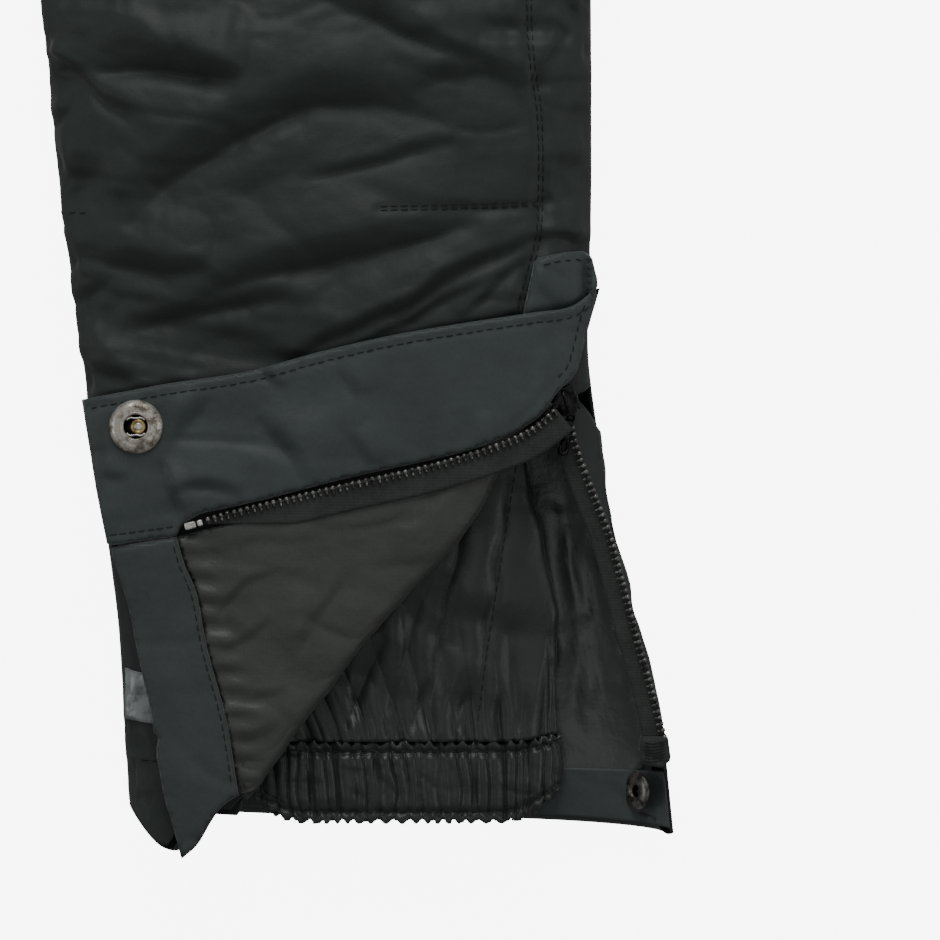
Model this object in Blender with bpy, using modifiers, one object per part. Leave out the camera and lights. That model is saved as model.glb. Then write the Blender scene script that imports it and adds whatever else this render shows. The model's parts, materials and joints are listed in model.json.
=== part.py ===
"""Child's ski pants, laid flat on the floor with the front up.

X runs across the garment, with the wearer's left leg at +X. Y runs from the hems up to the waist.
Z rises from the floor. The left leg's side zip is open: the lower corner of its front panel is
folded back over the leg, inside up, and its storm flap lies flat beyond the zip. The right leg is
zipped, and its storm flap is snapped shut.
"""

from math import atan2, cos, pi, radians, sin

import bmesh
import bpy
import numpy as np
from mathutils import Matrix, Vector

# Outline of one leg and half of the hips, as (y, x) pairs from the hem to the waist.
INNER_EDGE = (
    (-0.400, 0.0662), (-0.360, 0.0640), (-0.330, 0.0622), (-0.295, 0.0575), (-0.247, 0.0510),
    (-0.2035, 0.0450), (-0.1435, 0.0396), (-0.060, 0.0290), (0.060, 0.0120), (0.130, 0.0035),
    (0.150, 0.0004), (0.420, 0.0004),
)
OUTER_EDGE = (
    (-0.400, 0.2300), (-0.3616, 0.2262), (-0.330, 0.2180), (-0.295, 0.2095), (-0.250, 0.2032),
    (-0.200, 0.2046), (-0.1435, 0.2044), (-0.060, 0.2030), (0.060, 0.2000), (0.150, 0.1945),
    (0.200, 0.1890), (0.260, 0.1800), (0.330, 0.1660), (0.365, 0.1600), (0.420, 0.1580),
)
LOFT = ((-0.400, 0.0260), (-0.250, 0.0300), (-0.1435, 0.0330), (0.060, 0.0360), (0.150, 0.0380),
        (0.260, 0.0360), (0.365, 0.0320), (0.420, 0.0310))
PANEL_ROWS = (-0.360, -0.330, -0.295, -0.250, -0.200, -0.1435, -0.060, 0.020, 0.080, 0.130, 0.150,
              0.165, 0.180, 0.195, 0.210, 0.260, 0.330)
HEM_INNER_Y = -0.3838
HEM_OUTER_Y = -0.3940
PANEL_TOP_Y = 0.3675
BAND_LOW_Y = 0.3680
BAND_TOP_Y = 0.4006
CROTCH_Y = 0.150
CROTCH_BLEND = 0.060
FRONT_SQUARENESS = 2.8
BACK_SQUARENESS = 4.0

# Layers of the cloth, outside to inside: how far in each starts, and how thick it is.
GAP = 0.0004
SEAM_GAP = 0.0020
SHELL = (0.0, 0.0008)
PADDING = (0.0013, 0.0021)
LINING = (0.0044, 0.0005)
FACING = (0.0053, 0.0005)
FRONT_BAND = (0.0, 0.0030)
BACK_BAND = (0.0018, 0.0028)
BAND_ELASTIC = (0.0050, 0.0014)
LAYER_HEM_STEP = 0.003
COLUMNS = 10

# Left leg: the opening, the folded corner and its flap, seen from above.
ZIP_TOP = (0.1965, -0.2650)
OPENING_ABOVE_ZIP = 0.002
CREASE = (
    (0.1860, -0.2722), (0.1788, -0.2803), (0.1713, -0.2965), (0.1608, -0.3103), (0.1485, -0.3229),
    (0.1350, -0.3385), (0.1260, -0.3505), (0.1161, -0.3631), (0.1050, -0.3787),
)
CORNER_HEM = (
    (0.0993, -0.3814), (0.0909, -0.3892), (0.0819, -0.4006), (0.0789, -0.3892), (0.0753, -0.3742),
    (0.0729, -0.3565), (0.0681, -0.3352), (0.0645, -0.3196), (0.0612, -0.3097), (0.0825, -0.3035),
)
FACING_SEAM = ((0.0807, -0.3050), (0.0867, -0.3214), (0.0894, -0.3360), (0.0921, -0.3463),
               (0.0956, -0.3595), (0.0984, -0.3772), (0.0993, -0.3808))
FLAP_OUTLINE = (
    (0.0878, -0.2970), (0.0592, -0.3045), (0.0522, -0.2635), (0.1020, -0.2551), (0.1470, -0.2440),
    (0.1863, -0.2377), (0.2058, -0.2299), (0.2073, -0.2278), (0.2022, -0.2470), (0.1992, -0.2563),
    (0.1941, -0.2614), (0.1881, -0.2692), (0.1853, -0.2706),
)
FRONT_ZIP = ((0.0885, -0.2995), (0.1860, -0.2731))
FLAP_HINGE = ((0.0586, -0.3055), (0.1850, -0.2713))
PLATE_SLOPE = 0.030
PLATE_RISE = 0.0010
CORNER_SHELL_Z = 0.0004
CORNER_LINING_Z = 0.0014
CORNER_TOP_Z = 0.0024
FLAP_Z = 0.0022
FLAP_AXIS_Z = 0.0046
PLATE_THICK = 0.0006
FLAP_THICK = 0.0010
SNAP_ON_FLAP = (0.0687, -0.2716)

# Left leg: the zip half on the back panel, from its top down to the hem, with the slider at the top.
BACK_ZIP = (Vector((0.1974, -0.2671, 0.0245)), Vector((0.2265, -0.3665, 0.0175)))
LEFT_SLIDER_BACK = 0.0035
LEFT_PULL_LEAN = radians(-29.0)

# Zips: a tape, a bead of teeth on it, and a slider with a pull.
TAPE_THICK = 0.0005
TAPE_HALF = 0.009
BEAD_HALF = 0.0022
BEAD_TOP = 0.0017
SLIDER_LONG = 0.009
PULL_LONG = 0.0135
PULL_HALF = 0.0017
PULL_THICK = 0.0008
PULL_Z = 0.0036

# Right leg: the closed zip lies this far in from the outer edge, under its flap.
RIGHT_ZIP = ((-0.1600, -0.2650), (-0.1800, -0.3790))
SLIT_HALF = 0.0012
FLAP_IN = 0.007
FLAP_OUT = 0.033
FLAP_END = 0.019
FLAP_LIFT = 0.0047
RIGHT_SNAP_OUT = 0.024
RIGHT_SNAP_END = 0.030

FLY_ZIP = ((0.0, 0.3600), (0.0, 0.2050))
POCKET_ZIP = ((0.1000, 0.3300), (0.1400, 0.2050))
BAND_MIDDLE_Y = 0.3843

GAITER_INNER = ((-0.400, 0.1030), (-0.3652, 0.1000), (-0.340, 0.0820), (-0.300, 0.0720), (-0.215, 0.0640))
GAITER_OUTER = ((-0.400, 0.1935), (-0.3652, 0.1935), (-0.3544, 0.1950), (-0.3352, 0.1938),
                (-0.2998, 0.1887), (-0.2782, 0.1842), (-0.215, 0.1800))
GAITER_ROWS = (-0.3658, -0.3544, -0.3352, -0.2998, -0.2600, -0.2150)
CUFF_ROWS = (-0.3895, -0.3780, -0.3663)
GAITER_CLEAR = 0.0062
GAITER_THICK = 0.0005
CUFF_THICK = 0.0018

SNAP_R = 0.0080
SNAP_HOLE_R = 0.0039
POST_R = 0.0021
POST_HOLE_R = 0.0025
STUD_PLACE = (0.2184, -0.3814)
ROUND_STEPS = 20


def srgb(red, green, blue):
    """Linear colour of an 8-bit sRGB one."""
    channels = np.array((red, green, blue)) / 255
    linear = np.where(channels <= 0.04045, channels / 12.92, ((channels + 0.055) / 1.055) ** 2.4)
    return (*linear.tolist(), 1.0)


def material(name, colour, roughness, metallic=0.0):
    """Principled material of one kind of cloth, plastic or metal."""
    made = bpy.data.materials.new(name)
    made.use_nodes = True
    shader = made.node_tree.nodes["Principled BSDF"]
    shader.inputs["Base Color"].default_value = srgb(*colour)
    shader.inputs["Roughness"].default_value = roughness
    shader.inputs["Metallic"].default_value = metallic
    return made


for old in list(bpy.data.objects):
    bpy.data.objects.remove(old)

PARTS = bpy.data.collections.new("ski_pants")
CUTTERS = bpy.data.collections.new("cutters")
bpy.context.scene.collection.children.link(PARTS)
bpy.context.scene.collection.children.link(CUTTERS)

SHELL_CLOTH = material("shell_cloth", (44, 50, 49), 0.62)
LINING_CLOTH = material("lining_cloth", (50, 52, 50), 0.40)
GAITER_CLOTH = material("gaiter_cloth", (38, 41, 40), 0.42)
FILLING = material("filling", (205, 205, 200), 0.90)
ELASTIC = material("elastic", (40, 43, 42), 0.60)
REFLECTIVE = material("reflective", (150, 157, 160), 0.35)
TAPE = material("zip_tape", (26, 28, 28), 0.75)
DARK_METAL = material("dark_metal", (34, 34, 36), 0.35, 0.8)
NICKEL = material("old_nickel", (150, 145, 136), 0.38, 1.0)


def along(table, y):
    """Value of a (y, value) table at y."""
    ys, values = zip(*table)
    return float(np.interp(y, ys, values))


def closure(y):
    """1 where a leg is a tube of its own, 0 where its inner edge is the centre seam."""
    t = min(max((y - CROTCH_Y) / CROTCH_BLEND, 0.0), 1.0)
    return 1.0 - t * t * (3.0 - 2.0 * t)


def section_point(side, face, t, y, inset):
    """Point on a layer of the pants. t runs from the inner edge, 0, to the outer edge, pi.

    face is 1 on the front and -1 on the back.
    """
    power = 2.0 / (FRONT_SQUARENESS if face > 0 else BACK_SQUARENESS)
    closed = closure(y)
    inner = along(INNER_EDGE, y) + inset
    outer = along(OUTER_EDGE, y) - inset
    half = along(LOFT, y) / 2
    u = -np.sign(cos(t)) * abs(cos(t)) ** power
    rise = abs(sin(t)) ** power
    if t < pi / 2:
        rise = 1.0 - closed + closed * rise
    x = (inner + outer) / 2 + u * (outer - inner) / 2
    z = half + face * (SEAM_GAP / 2 + (half - inset - SEAM_GAP / 2) * rise)
    return Vector((side * x, y, z))


def crown(x, y):
    """Point on the front's outer face above (x, y)."""
    inner = along(INNER_EDGE, y)
    outer = along(OUTER_EDGE, y)
    half = along(LOFT, y) / 2
    u = (abs(x) - (inner + outer) / 2) / ((outer - inner) / 2)
    fall = max(1.0 - min(abs(u), 1.0) ** FRONT_SQUARENESS, 0.0) ** (1 / FRONT_SQUARENESS)
    if u < 0:
        fall = 1.0 - closure(y) * (1.0 - fall)
    return Vector((x, y, half * (1.0 + fall)))


def crown_normal(x, y):
    """Unit normal of the front's outer face above (x, y)."""
    step = 0.004
    across = crown(x + step, y) - crown(x - step, y)
    up_leg = crown(x, y + step) - crown(x, y - step)
    return across.cross(up_leg).normalized()


def finish_object(obj, cloth, collection=PARTS, smooth=False):
    """Puts an object in its collection with its material."""
    for other in list(obj.users_collection):
        other.objects.unlink(obj)
    collection.objects.link(obj)
    if cloth is not None:
        obj.data.materials.append(cloth)
    if smooth:
        obj.data.shade_smooth()
        obj.data.set_sharp_from_angle(angle=radians(40))
    return obj


def hide_cutter(obj):
    """Marks a cutter, which isn't a piece."""
    finish_object(obj, None, CUTTERS)
    obj.hide_render = True
    obj.display_type = "WIRE"
    return obj


def surface(name, rows, flip, cloth, thickness, closed_rows=False, mirror=False):
    """Sheet through a grid of points, made thick towards its back."""
    mesh = bmesh.new()
    grid = [[mesh.verts.new(point) for point in row] for row in rows]
    for low, high in zip(grid, grid[1:]):
        pairs = list(zip(range(len(low) - 1), range(1, len(low))))
        if closed_rows:
            pairs.append((len(low) - 1, 0))
        for a, b in pairs:
            corners = (low[a], low[b], high[b], high[a])
            mesh.faces.new(reversed(corners) if flip else corners)
    data = bpy.data.meshes.new(name)
    mesh.to_mesh(data)
    mesh.free()
    obj = finish_object(bpy.data.objects.new(name, data), cloth, smooth=True)
    if mirror:
        fold = obj.modifiers.new("mirror", "MIRROR")
        fold.merge_threshold = 0.0001
    thick = obj.modifiers.new("thickness", "SOLIDIFY")
    thick.thickness = thickness
    thick.offset = -1.0
    return obj


def panel(name, side, face, layer, cloth, rows=None, hem_step=0.0, span=(0.0, pi), columns=COLUMNS,
          mirror=False):
    """One layer of the front or back of a leg and its half of the hips."""
    inset, thickness = layer
    if rows is None:
        hem = [-1.0] + list(PANEL_ROWS) + [PANEL_TOP_Y]
    else:
        hem = list(rows)
    ts = np.linspace(span[0], span[1], columns)
    points = []
    for y in hem:
        row = []
        for t in ts:
            place = y
            if y <= -1.0:
                share = t / pi
                place = HEM_INNER_Y + (HEM_OUTER_Y - HEM_INNER_Y) * share + hem_step
            row.append(section_point(side, face, t, place, inset))
        if mirror:
            row[0].x = 0.0
        points.append(row)
    return surface(name, points, face * side < 0, cloth, thickness, mirror=mirror)


def empty(name, origin, y_axis, z_axis, parent=None):
    """Local frame for pieces that are laid out or move together."""
    y_axis = Vector(y_axis).normalized()
    x_axis = y_axis.cross(Vector(z_axis)).normalized()
    z_axis = x_axis.cross(y_axis)
    turn = Matrix((x_axis, y_axis, z_axis)).transposed().to_4x4()
    obj = bpy.data.objects.new(name, None)
    obj.empty_display_size = 0.01
    PARTS.objects.link(obj)
    world = Matrix.Translation(origin) @ turn
    if parent is None:
        obj.matrix_basis = world
    else:
        obj.parent = parent
        obj.matrix_basis = frame_of(parent).inverted() @ world
    return obj


def frame_of(obj):
    """World matrix of an empty, from the transforms of its parents."""
    if obj.parent is None:
        return obj.matrix_basis.copy()
    return frame_of(obj.parent) @ obj.matrix_basis


def plate(name, outline, thickness, low, cloth, parent=None, holes=()):
    """Flat piece with this outline, whose lower face is at height low of its frame.

    Each hole is (x, y, radius).
    """
    curve = bpy.data.curves.new(name, "CURVE")
    curve.dimensions = "2D"
    curve.fill_mode = "BOTH"
    curve.extrude = thickness / 2
    loops = [list(outline)]
    for x, y, radius in holes:
        turns = np.linspace(0, 2 * pi, ROUND_STEPS, endpoint=False)
        loops.append([(x + radius * cos(a), y + radius * sin(a)) for a in turns])
    for loop in loops:
        spline = curve.splines.new("POLY")
        spline.points.add(len(loop) - 1)
        for point, (x, y) in zip(spline.points, loop):
            point.co = (x, y, 0.0, 1.0)
        spline.use_cyclic_u = True
    obj = finish_object(bpy.data.objects.new(name, curve), cloth)
    obj.parent = parent
    obj.location.z = low + thickness / 2
    return obj


def meshed(obj):
    """The same piece as a mesh with its caps welded, for cutting."""
    bpy.context.view_layer.update()
    seen = obj.evaluated_get(bpy.context.evaluated_depsgraph_get())
    data = bpy.data.meshes.new_from_object(seen)
    mesh = bmesh.new()
    mesh.from_mesh(data)
    bmesh.ops.remove_doubles(mesh, verts=mesh.verts, dist=0.00001)
    mesh.to_mesh(data)
    mesh.free()
    name = obj.name
    made = bpy.data.objects.new(name, data)
    made.matrix_world = obj.matrix_world.copy()
    bpy.data.objects.remove(obj)
    made.name = name
    PARTS.objects.link(made)
    return made


def bar(name, profile, length, cloth, parent, middle=0.0):
    """Straight bar with this cross-section, along its frame's Z."""
    obj = plate(name, profile, length, 0.0, cloth, parent)
    obj.location.z = middle
    return obj


def turned(name, profile, cloth, parent=None, location=(0, 0, 0), closed=False):
    """Round piece from an (r, z) profile that runs down its outer side."""
    mesh = bmesh.new()
    verts = [mesh.verts.new((r, 0, z)) for r, z in profile]
    pairs = list(zip(verts, verts[1:]))
    if closed:
        pairs.append((verts[-1], verts[0]))
    for a, b in pairs:
        mesh.edges.new((a, b))
    data = bpy.data.meshes.new(name)
    mesh.to_mesh(data)
    mesh.free()
    obj = finish_object(bpy.data.objects.new(name, data), cloth)
    spin = obj.modifiers.new("turn", "SCREW")
    spin.steps = ROUND_STEPS
    spin.render_steps = ROUND_STEPS
    spin.use_merge_vertices = True
    spin.merge_threshold = 0.00001
    obj.parent = parent
    obj.location = location
    return obj


def block(name, size, cloth, parent, location, bevel=0.0003):
    """Box with rounded edges."""
    bpy.ops.mesh.primitive_cube_add(size=1.0)
    obj = bpy.context.object
    obj.name = name
    obj.data.name = name
    obj.data.transform(Matrix.Diagonal((*size, 1.0)))
    finish_object(obj, cloth)
    rounding = obj.modifiers.new("rounding", "BEVEL")
    rounding.width = bevel
    obj.parent = parent
    obj.location = location
    return obj


def cut(target, cutter):
    """Takes the cutter's shape out of a piece."""
    tool = target.modifiers.new("cut_" + cutter.name, "BOOLEAN")
    tool.operation = "DIFFERENCE"
    tool.solver = "EXACT"
    tool.object = cutter


def strip_frame(start, end, half_width):
    """(origin, direction, up) of a straight strip that rests on the front between two places.

    The strip's plane clears the cloth everywhere under it.
    """
    first, last = crown(*start), crown(*end)
    middle = (first + last) / 2
    outward = 1.0 if middle.x > 0 else -1.0
    lean_x = middle.x if abs(middle.x) < TAPE_HALF else middle.x + outward * half_width
    direction = (last - first).normalized()
    up = crown_normal(lean_x, middle.y)
    up = (up - direction * up.dot(direction)).normalized()
    across = direction.cross(up)
    lift = 0.0
    for share in np.linspace(0, 1, 9):
        spot = first.lerp(last, share)
        for offset in (-half_width, 0.0, half_width):
            place = spot + across * offset
            lift = max(lift, (crown(place.x, place.y) - place).dot(up))
    return first + up * (lift + GAP), direction, up


def slider_profile(half):
    """Cross-section of a slider: a plate over the teeth, two side walls and two ears for the pull."""
    wall = 0.0005
    ear_in = PULL_HALF + 0.0003
    ear_out = ear_in + 0.0005
    low, plate_low, plate_top, ear_top = 0.0009, 0.0021, 0.0029, 0.0042
    right = [(half, low), (half, plate_top), (ear_out, plate_top), (ear_out, ear_top), (ear_in, ear_top),
             (ear_in, plate_top)]
    left = [(-x, y) for x, y in reversed(right)]
    inner = [(-half + wall, low), (-half + wall, plate_low), (half - wall, plate_low), (half - wall, low)]
    return right + left + inner


def round_end_outline(half, length, back):
    """Outline of a pull tab that points along +Y from its pivot, with round ends."""
    turns = np.linspace(0, pi, 7)
    far = [(half * cos(a), length - half + half * sin(a)) for a in turns]
    return far + [(-half, -back), (half, -back)]


def zip_closed(prefix, start, end, half_tape=TAPE_HALF, pull_way=1):
    """A closed zip with its slider at start. Returns the zip's frame, as (origin, direction, up).

    The pull points towards the zip's end, or away from it where pull_way is -1.
    """
    origin, direction, up = strip_frame(start, end, half_tape)
    length = (Vector((*end, 0)) - Vector((*start, 0))).length
    line = empty(prefix + "_zip_line", origin, up, direction)
    edge = BEAD_HALF
    profile = [(-half_tape, 0.0), (half_tape, 0.0), (half_tape, TAPE_THICK), (edge, TAPE_THICK),
               (edge, BEAD_TOP), (-edge, BEAD_TOP), (-edge, TAPE_THICK), (-half_tape, TAPE_THICK)]
    bar(prefix + "_zip", profile, length, TAPE, line, length / 2)
    slider_at = origin + direction * SLIDER_LONG
    slider = empty(prefix + "_slide", slider_at, up, direction)
    bar(prefix + "_zip_slider", slider_profile(0.0036), SLIDER_LONG, DARK_METAL, slider)
    pivot = empty(prefix + "_pull_pivot", slider_at + up * PULL_Z, direction * pull_way, up)
    plate(prefix + "_zip_pull", round_end_outline(PULL_HALF, PULL_LONG, 0.0005), PULL_THICK,
          -PULL_THICK / 2, DARK_METAL, pivot)
    return origin, direction, up


def snap_cap(name, parent, location, low, post):
    """Domed cap, with a post of this length towards +Z when post isn't 0, and its back at low."""
    x, y = location
    dome = [(SNAP_R * cos(a), -0.0018 * sin(a)) for a in np.linspace(0, pi / 2, 5)[:-1]]
    if post:
        profile = [(0, post), (POST_R, post), (POST_R, 0), *dome, (0, -0.0018)]
    else:
        profile = [(0, 0.0018), *[(r, -z) for r, z in reversed(dome)], (0, 0)]
    return turned(name, profile, NICKEL, parent, (x, y, low))


def snap_socket(name, parent, location, low):
    """Ring that holds the spring of a snap, open in the middle."""
    x, y = location
    rim = [(SNAP_HOLE_R, 0.0016), (0.0046, 0.0022), (0.0062, 0.0020), (SNAP_R, 0.0006), (SNAP_R, 0.0),
           (SNAP_HOLE_R, 0.0)]
    return turned(name, rim, NICKEL, parent, (x, y, low), closed=True)


def trousers():
    """Shell, padding and lining of both legs and the hips, returned by name."""
    made = {}
    for word, side in (("left", 1), ("right", -1)):
        for where, face in (("front", 1), ("back", -1)):
            layers = (("shell", SHELL, SHELL_CLOTH, 0.0), ("padding", PADDING, FILLING, LAYER_HEM_STEP),
                      ("lining", LINING, LINING_CLOTH, LAYER_HEM_STEP))
            for layer, depth, cloth, step in layers:
                name = f"{word}_{where}_{layer}"
                made[name] = panel(name, side, face, depth, cloth, hem_step=step)
    return made


def opening_cuts(made):
    """Cuts the left front away beyond the crease, and slits the right front along its zip."""
    top_y = ZIP_TOP[1] + OPENING_ABOVE_ZIP
    outline = [(0.260, top_y), (ZIP_TOP[0], top_y), (0.1870, -0.2690), *CREASE, (0.0980, -0.3870),
               (0.0940, -0.4100), (0.260, -0.4100)]
    opening = hide_cutter(meshed(plate("opening_cutter", outline, 0.045, 0.0050, None)))
    start, end = Vector((*RIGHT_ZIP[0], 0)), Vector((*RIGHT_ZIP[1], 0))
    direction = (end - start).normalized()
    bpy.ops.mesh.primitive_cube_add(size=1.0)
    slit = bpy.context.object
    slit.name = "slit_cutter"
    slit.data.transform(Matrix.Diagonal((2 * SLIT_HALF, 0.160, 0.030, 1.0)))
    slit.location = start + direction * 0.080 + Vector((0, 0, 0.029))
    slit.rotation_euler.z = atan2(direction.y, direction.x) + pi / 2
    hide_cutter(slit)
    for layer in ("shell", "padding", "lining"):
        cut(made["left_front_" + layer], opening)
        cut(made["right_front_" + layer], slit)


def waist():
    """Waistband, its elastic, belt loops, side tabs and front closure."""
    rows = (BAND_LOW_Y, BAND_MIDDLE_Y, BAND_TOP_Y)
    for word, side in (("left", 1), ("right", -1)):
        panel(f"waistband_front_{word}", side, 1, FRONT_BAND, SHELL_CLOTH, rows)
    panel("waistband_back", 1, -1, BACK_BAND, SHELL_CLOTH, rows, mirror=True)
    inner_rows = (BAND_LOW_Y + 0.003, BAND_MIDDLE_Y, BAND_TOP_Y - 0.003)
    panel("waist_elastic", 1, -1, BAND_ELASTIC, ELASTIC, inner_rows, span=(0.0, pi - 0.35), mirror=True)
    for word, side in (("left", 1), ("right", -1)):
        x = side * 0.070
        top = crown(x, BAND_MIDDLE_Y)
        block(f"belt_loop_front_{word}", (0.008, 0.029, 0.0012), SHELL_CLOTH, None,
              top + Vector((0, 0, 0.0014)))
        block(f"belt_loop_back_{word}", (0.008, 0.029, 0.0011), SHELL_CLOTH, None,
              (side * 0.050, BAND_MIDDLE_Y, 0.0008))
        side_tab(word, side)
    front_closure()


def side_tab(word, side):
    """Hook-and-loop tab that takes the waist in, sewn on at its outer end."""
    start = (side * 0.142, BAND_MIDDLE_Y)
    end = (side * 0.096, BAND_MIDDLE_Y)
    origin, direction, up = strip_frame(start, end, 0.010)
    pivot = empty(f"{word}_waist_tab_pivot", origin, direction, up)
    plate(f"{word}_waist_tab", round_end_outline(0.010, 0.046, 0.0), 0.0016, 0.0, SHELL_CLOTH, pivot)


def front_closure():
    """Tab over the middle of the waistband, with a snap, above the fly zip."""
    zip_closed("fly", *FLY_ZIP)
    top = crown(0.001, BAND_MIDDLE_Y)
    pivot = empty("closure_pivot", top + Vector((0.024, 0, 0.0034)), (-1, 0, 0), (0, 0, 1))
    tab = round_end_outline(0.012, 0.052, 0.0)
    plate("waist_closure_tab", tab, 0.0012, -0.0006, SHELL_CLOTH, pivot)
    snap_cap("waist_snap_cap", pivot, (0.0, 0.040), 0.0009, 0.0)
    stud_profile = [(0, 0.0020), (0.0020, 0.0020), (0.0024, 0.0012), (0.0016, 0.0008), (0.0060, 0.0006),
                    (0.0060, 0.0), (0, 0)]
    turned("waist_snap_stud", stud_profile, NICKEL, None, top + Vector((-0.016, 0, 0.0005)))


def pockets():
    """Slanted zip of each hip pocket."""
    for word, side in (("left", 1), ("right", -1)):
        start, end = ((side * x, y) for x, y in POCKET_ZIP)
        zip_closed(f"{word}_pocket", start, end, 0.007)


def gaiter_ring(side, y, shrink):
    """Points round the gaiter at y, shrink inside its outer face."""
    inner = along(GAITER_INNER, y) + shrink
    outer = along(GAITER_OUTER, y) - shrink
    half = along(LOFT, y) / 2
    rise = half - GAITER_CLEAR - shrink
    points = []
    for t in np.linspace(0, 2 * pi, 2 * COLUMNS, endpoint=False):
        squareness = FRONT_SQUARENESS if sin(t) >= 0 else BACK_SQUARENESS
        power = 2.0 / squareness
        x = (inner + outer) / 2 - np.sign(cos(t)) * abs(cos(t)) ** power * (outer - inner) / 2
        points.append(Vector((side * x, y, half + np.sign(sin(t)) * abs(sin(t)) ** power * rise)))
    return points


def gaiters():
    """Snow cuff inside each leg, and its elastic hem."""
    for word, side in (("left", 1), ("right", -1)):
        cloth = [gaiter_ring(side, y, 0.0) for y in GAITER_ROWS]
        surface(f"{word}_gaiter", cloth, side < 0, GAITER_CLOTH, GAITER_THICK, closed_rows=True)
        cuff = [gaiter_ring(side, y, 0.0) for y in CUFF_ROWS]
        surface(f"{word}_gaiter_elastic", cuff, side < 0, ELASTIC, CUFF_THICK, closed_rows=True)


def corner_local(points):
    """Places on the folded corner's plane, measured from the zip's top."""
    return [(x - ZIP_TOP[0], y - ZIP_TOP[1]) for x, y in points]


def plate_point(x, y, above=0.0):
    """World point on the folded corner's plane, or above it."""
    base = along(LOFT, ZIP_TOP[1]) + PLATE_RISE
    normal = Vector((0, -PLATE_SLOPE, 1)).normalized()
    return Vector((x, y, base + PLATE_SLOPE * (y - ZIP_TOP[1]))) + normal * above


def zip_half(name, parent_name, start, end, up, tape_side, parent=None):
    """One half of an open zip: its teeth run from start to end, with the tape on one side."""
    line = empty(parent_name, start, up, end - start, parent)
    s = tape_side
    profile = [(s * 0.0085, 0.0), (s * 0.0085, TAPE_THICK), (s * 0.0011, TAPE_THICK),
               (s * 0.0011, BEAD_TOP), (-s * 0.0011, BEAD_TOP), (-s * 0.0011, 0.0)]
    length = (end - start).length
    return bar(name, profile, length, TAPE, line, length / 2)


def left_opening():
    """Folded corner of the left front, its flap and snap, and the zip half on the back."""
    normal = Vector((0, -PLATE_SLOPE, 1))
    fold = empty("left_corner_fold", plate_point(*ZIP_TOP), (0, 1, PLATE_SLOPE), normal)
    corner = [*CREASE, *CORNER_HEM]
    zip_start, zip_end = (plate_point(x, y, CORNER_TOP_Z) for x, y in FRONT_ZIP)
    plate("left_corner_shell", corner_local(corner), PLATE_THICK, CORNER_SHELL_Z, SHELL_CLOTH, fold)
    plate("left_corner_lining", corner_local(corner), PLATE_THICK, CORNER_LINING_Z, LINING_CLOTH, fold)
    facing = [*CORNER_HEM[1:-1], *FACING_SEAM]
    plate("left_hem_facing", corner_local(facing), PLATE_THICK, CORNER_TOP_Z, SHELL_CLOTH, fold)
    zip_half("left_zip_front_half", "left_front_zip_line", zip_start, zip_end, normal, -1, fold)
    stop_middle = zip_start - (zip_end - zip_start).normalized() * 0.0030
    stop = empty("left_zip_stop_place", stop_middle, normal, zip_end - zip_start, fold)
    block("left_zip_end_stop", (0.0012, 0.0012, 0.0050), NICKEL, stop, (0, 0.0012, 0))

    hinge_start, hinge_end = (plate_point(x, y, FLAP_AXIS_Z) for x, y in FLAP_HINGE)
    pivot = empty("left_flap_pivot", hinge_start, hinge_end - hinge_start, normal, fold)
    to_pivot = frame_of(pivot).inverted() @ frame_of(fold)
    outline = [to_pivot @ Vector((x, y, FLAP_Z)) for x, y in corner_local(FLAP_OUTLINE)]
    place = to_pivot @ Vector((*corner_local([SNAP_ON_FLAP])[0], FLAP_Z))
    low = outline[0].z
    plate("left_storm_flap", [(p.x, p.y) for p in outline], FLAP_THICK, low, SHELL_CLOTH, pivot,
          holes=[(place.x, place.y, POST_HOLE_R)])
    snap_socket("left_snap_socket", pivot, (place.x, place.y), low + FLAP_THICK + 0.0003)
    snap_cap("left_snap_cap", pivot, (place.x, place.y), low - 0.0003, 0.0026)
    left_back_zip()


def left_back_zip():
    """Zip half on the left back panel, with the slider at its top."""
    start, end = BACK_ZIP
    direction = (end - start).normalized()
    up = Vector((0, 0, 1))
    up = (up - direction * up.dot(direction)).normalized()
    zip_half("left_zip_back_half", "left_back_zip_line", start, end, up, -1)
    slider_at = start - direction * LEFT_SLIDER_BACK
    slider = empty("left_slide", slider_at, up, direction)
    bar("left_zip_slider", slider_profile(0.0030), SLIDER_LONG, DARK_METAL, slider)
    pull_way = Matrix.Rotation(LEFT_PULL_LEAN, 3, up) @ direction
    pull_start = slider_at + direction * (SLIDER_LONG / 2 + 0.0009) + up * 0.0026
    pivot = empty("left_pull_pivot", pull_start, pull_way, up)
    tab = round_end_outline(0.0014, 0.0115, 0.0)
    plate("left_zip_pull", tab, PULL_THICK, -PULL_THICK / 2, DARK_METAL, pivot)


def left_stud(made):
    """Snap stud through the left back panel near the hem, with its holes."""
    x, y = STUD_PLACE
    lean = radians(-14.0)
    outside = section_point(1, -1, pi * 0.74, y, 0.0)
    base = Vector((x, y, outside.z))
    pivot = empty("left_stud_place", base, (0, 1, 0), Vector((sin(lean), 0, cos(lean))))
    through = 0.0080
    profile = [(0, through + 0.0010), (0.0055, through + 0.0008), (0.0055, through), (0.0016, through),
               (0.0016, 0.0), (0.0030, -0.0002), (0.0030, -0.0010), (0, -0.0010)]
    turned("left_snap_stud", profile, NICKEL, pivot)
    bpy.ops.mesh.primitive_cylinder_add(vertices=16, radius=0.0022, depth=0.020)
    hole = bpy.context.object
    hole.name = "stud_hole_cutter"
    hole.matrix_world = frame_of(pivot)
    hide_cutter(hole)
    for name in ("left_back_shell", "left_back_padding", "left_back_lining", "left_back_hem_facing"):
        cut(made[name], hole)


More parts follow.
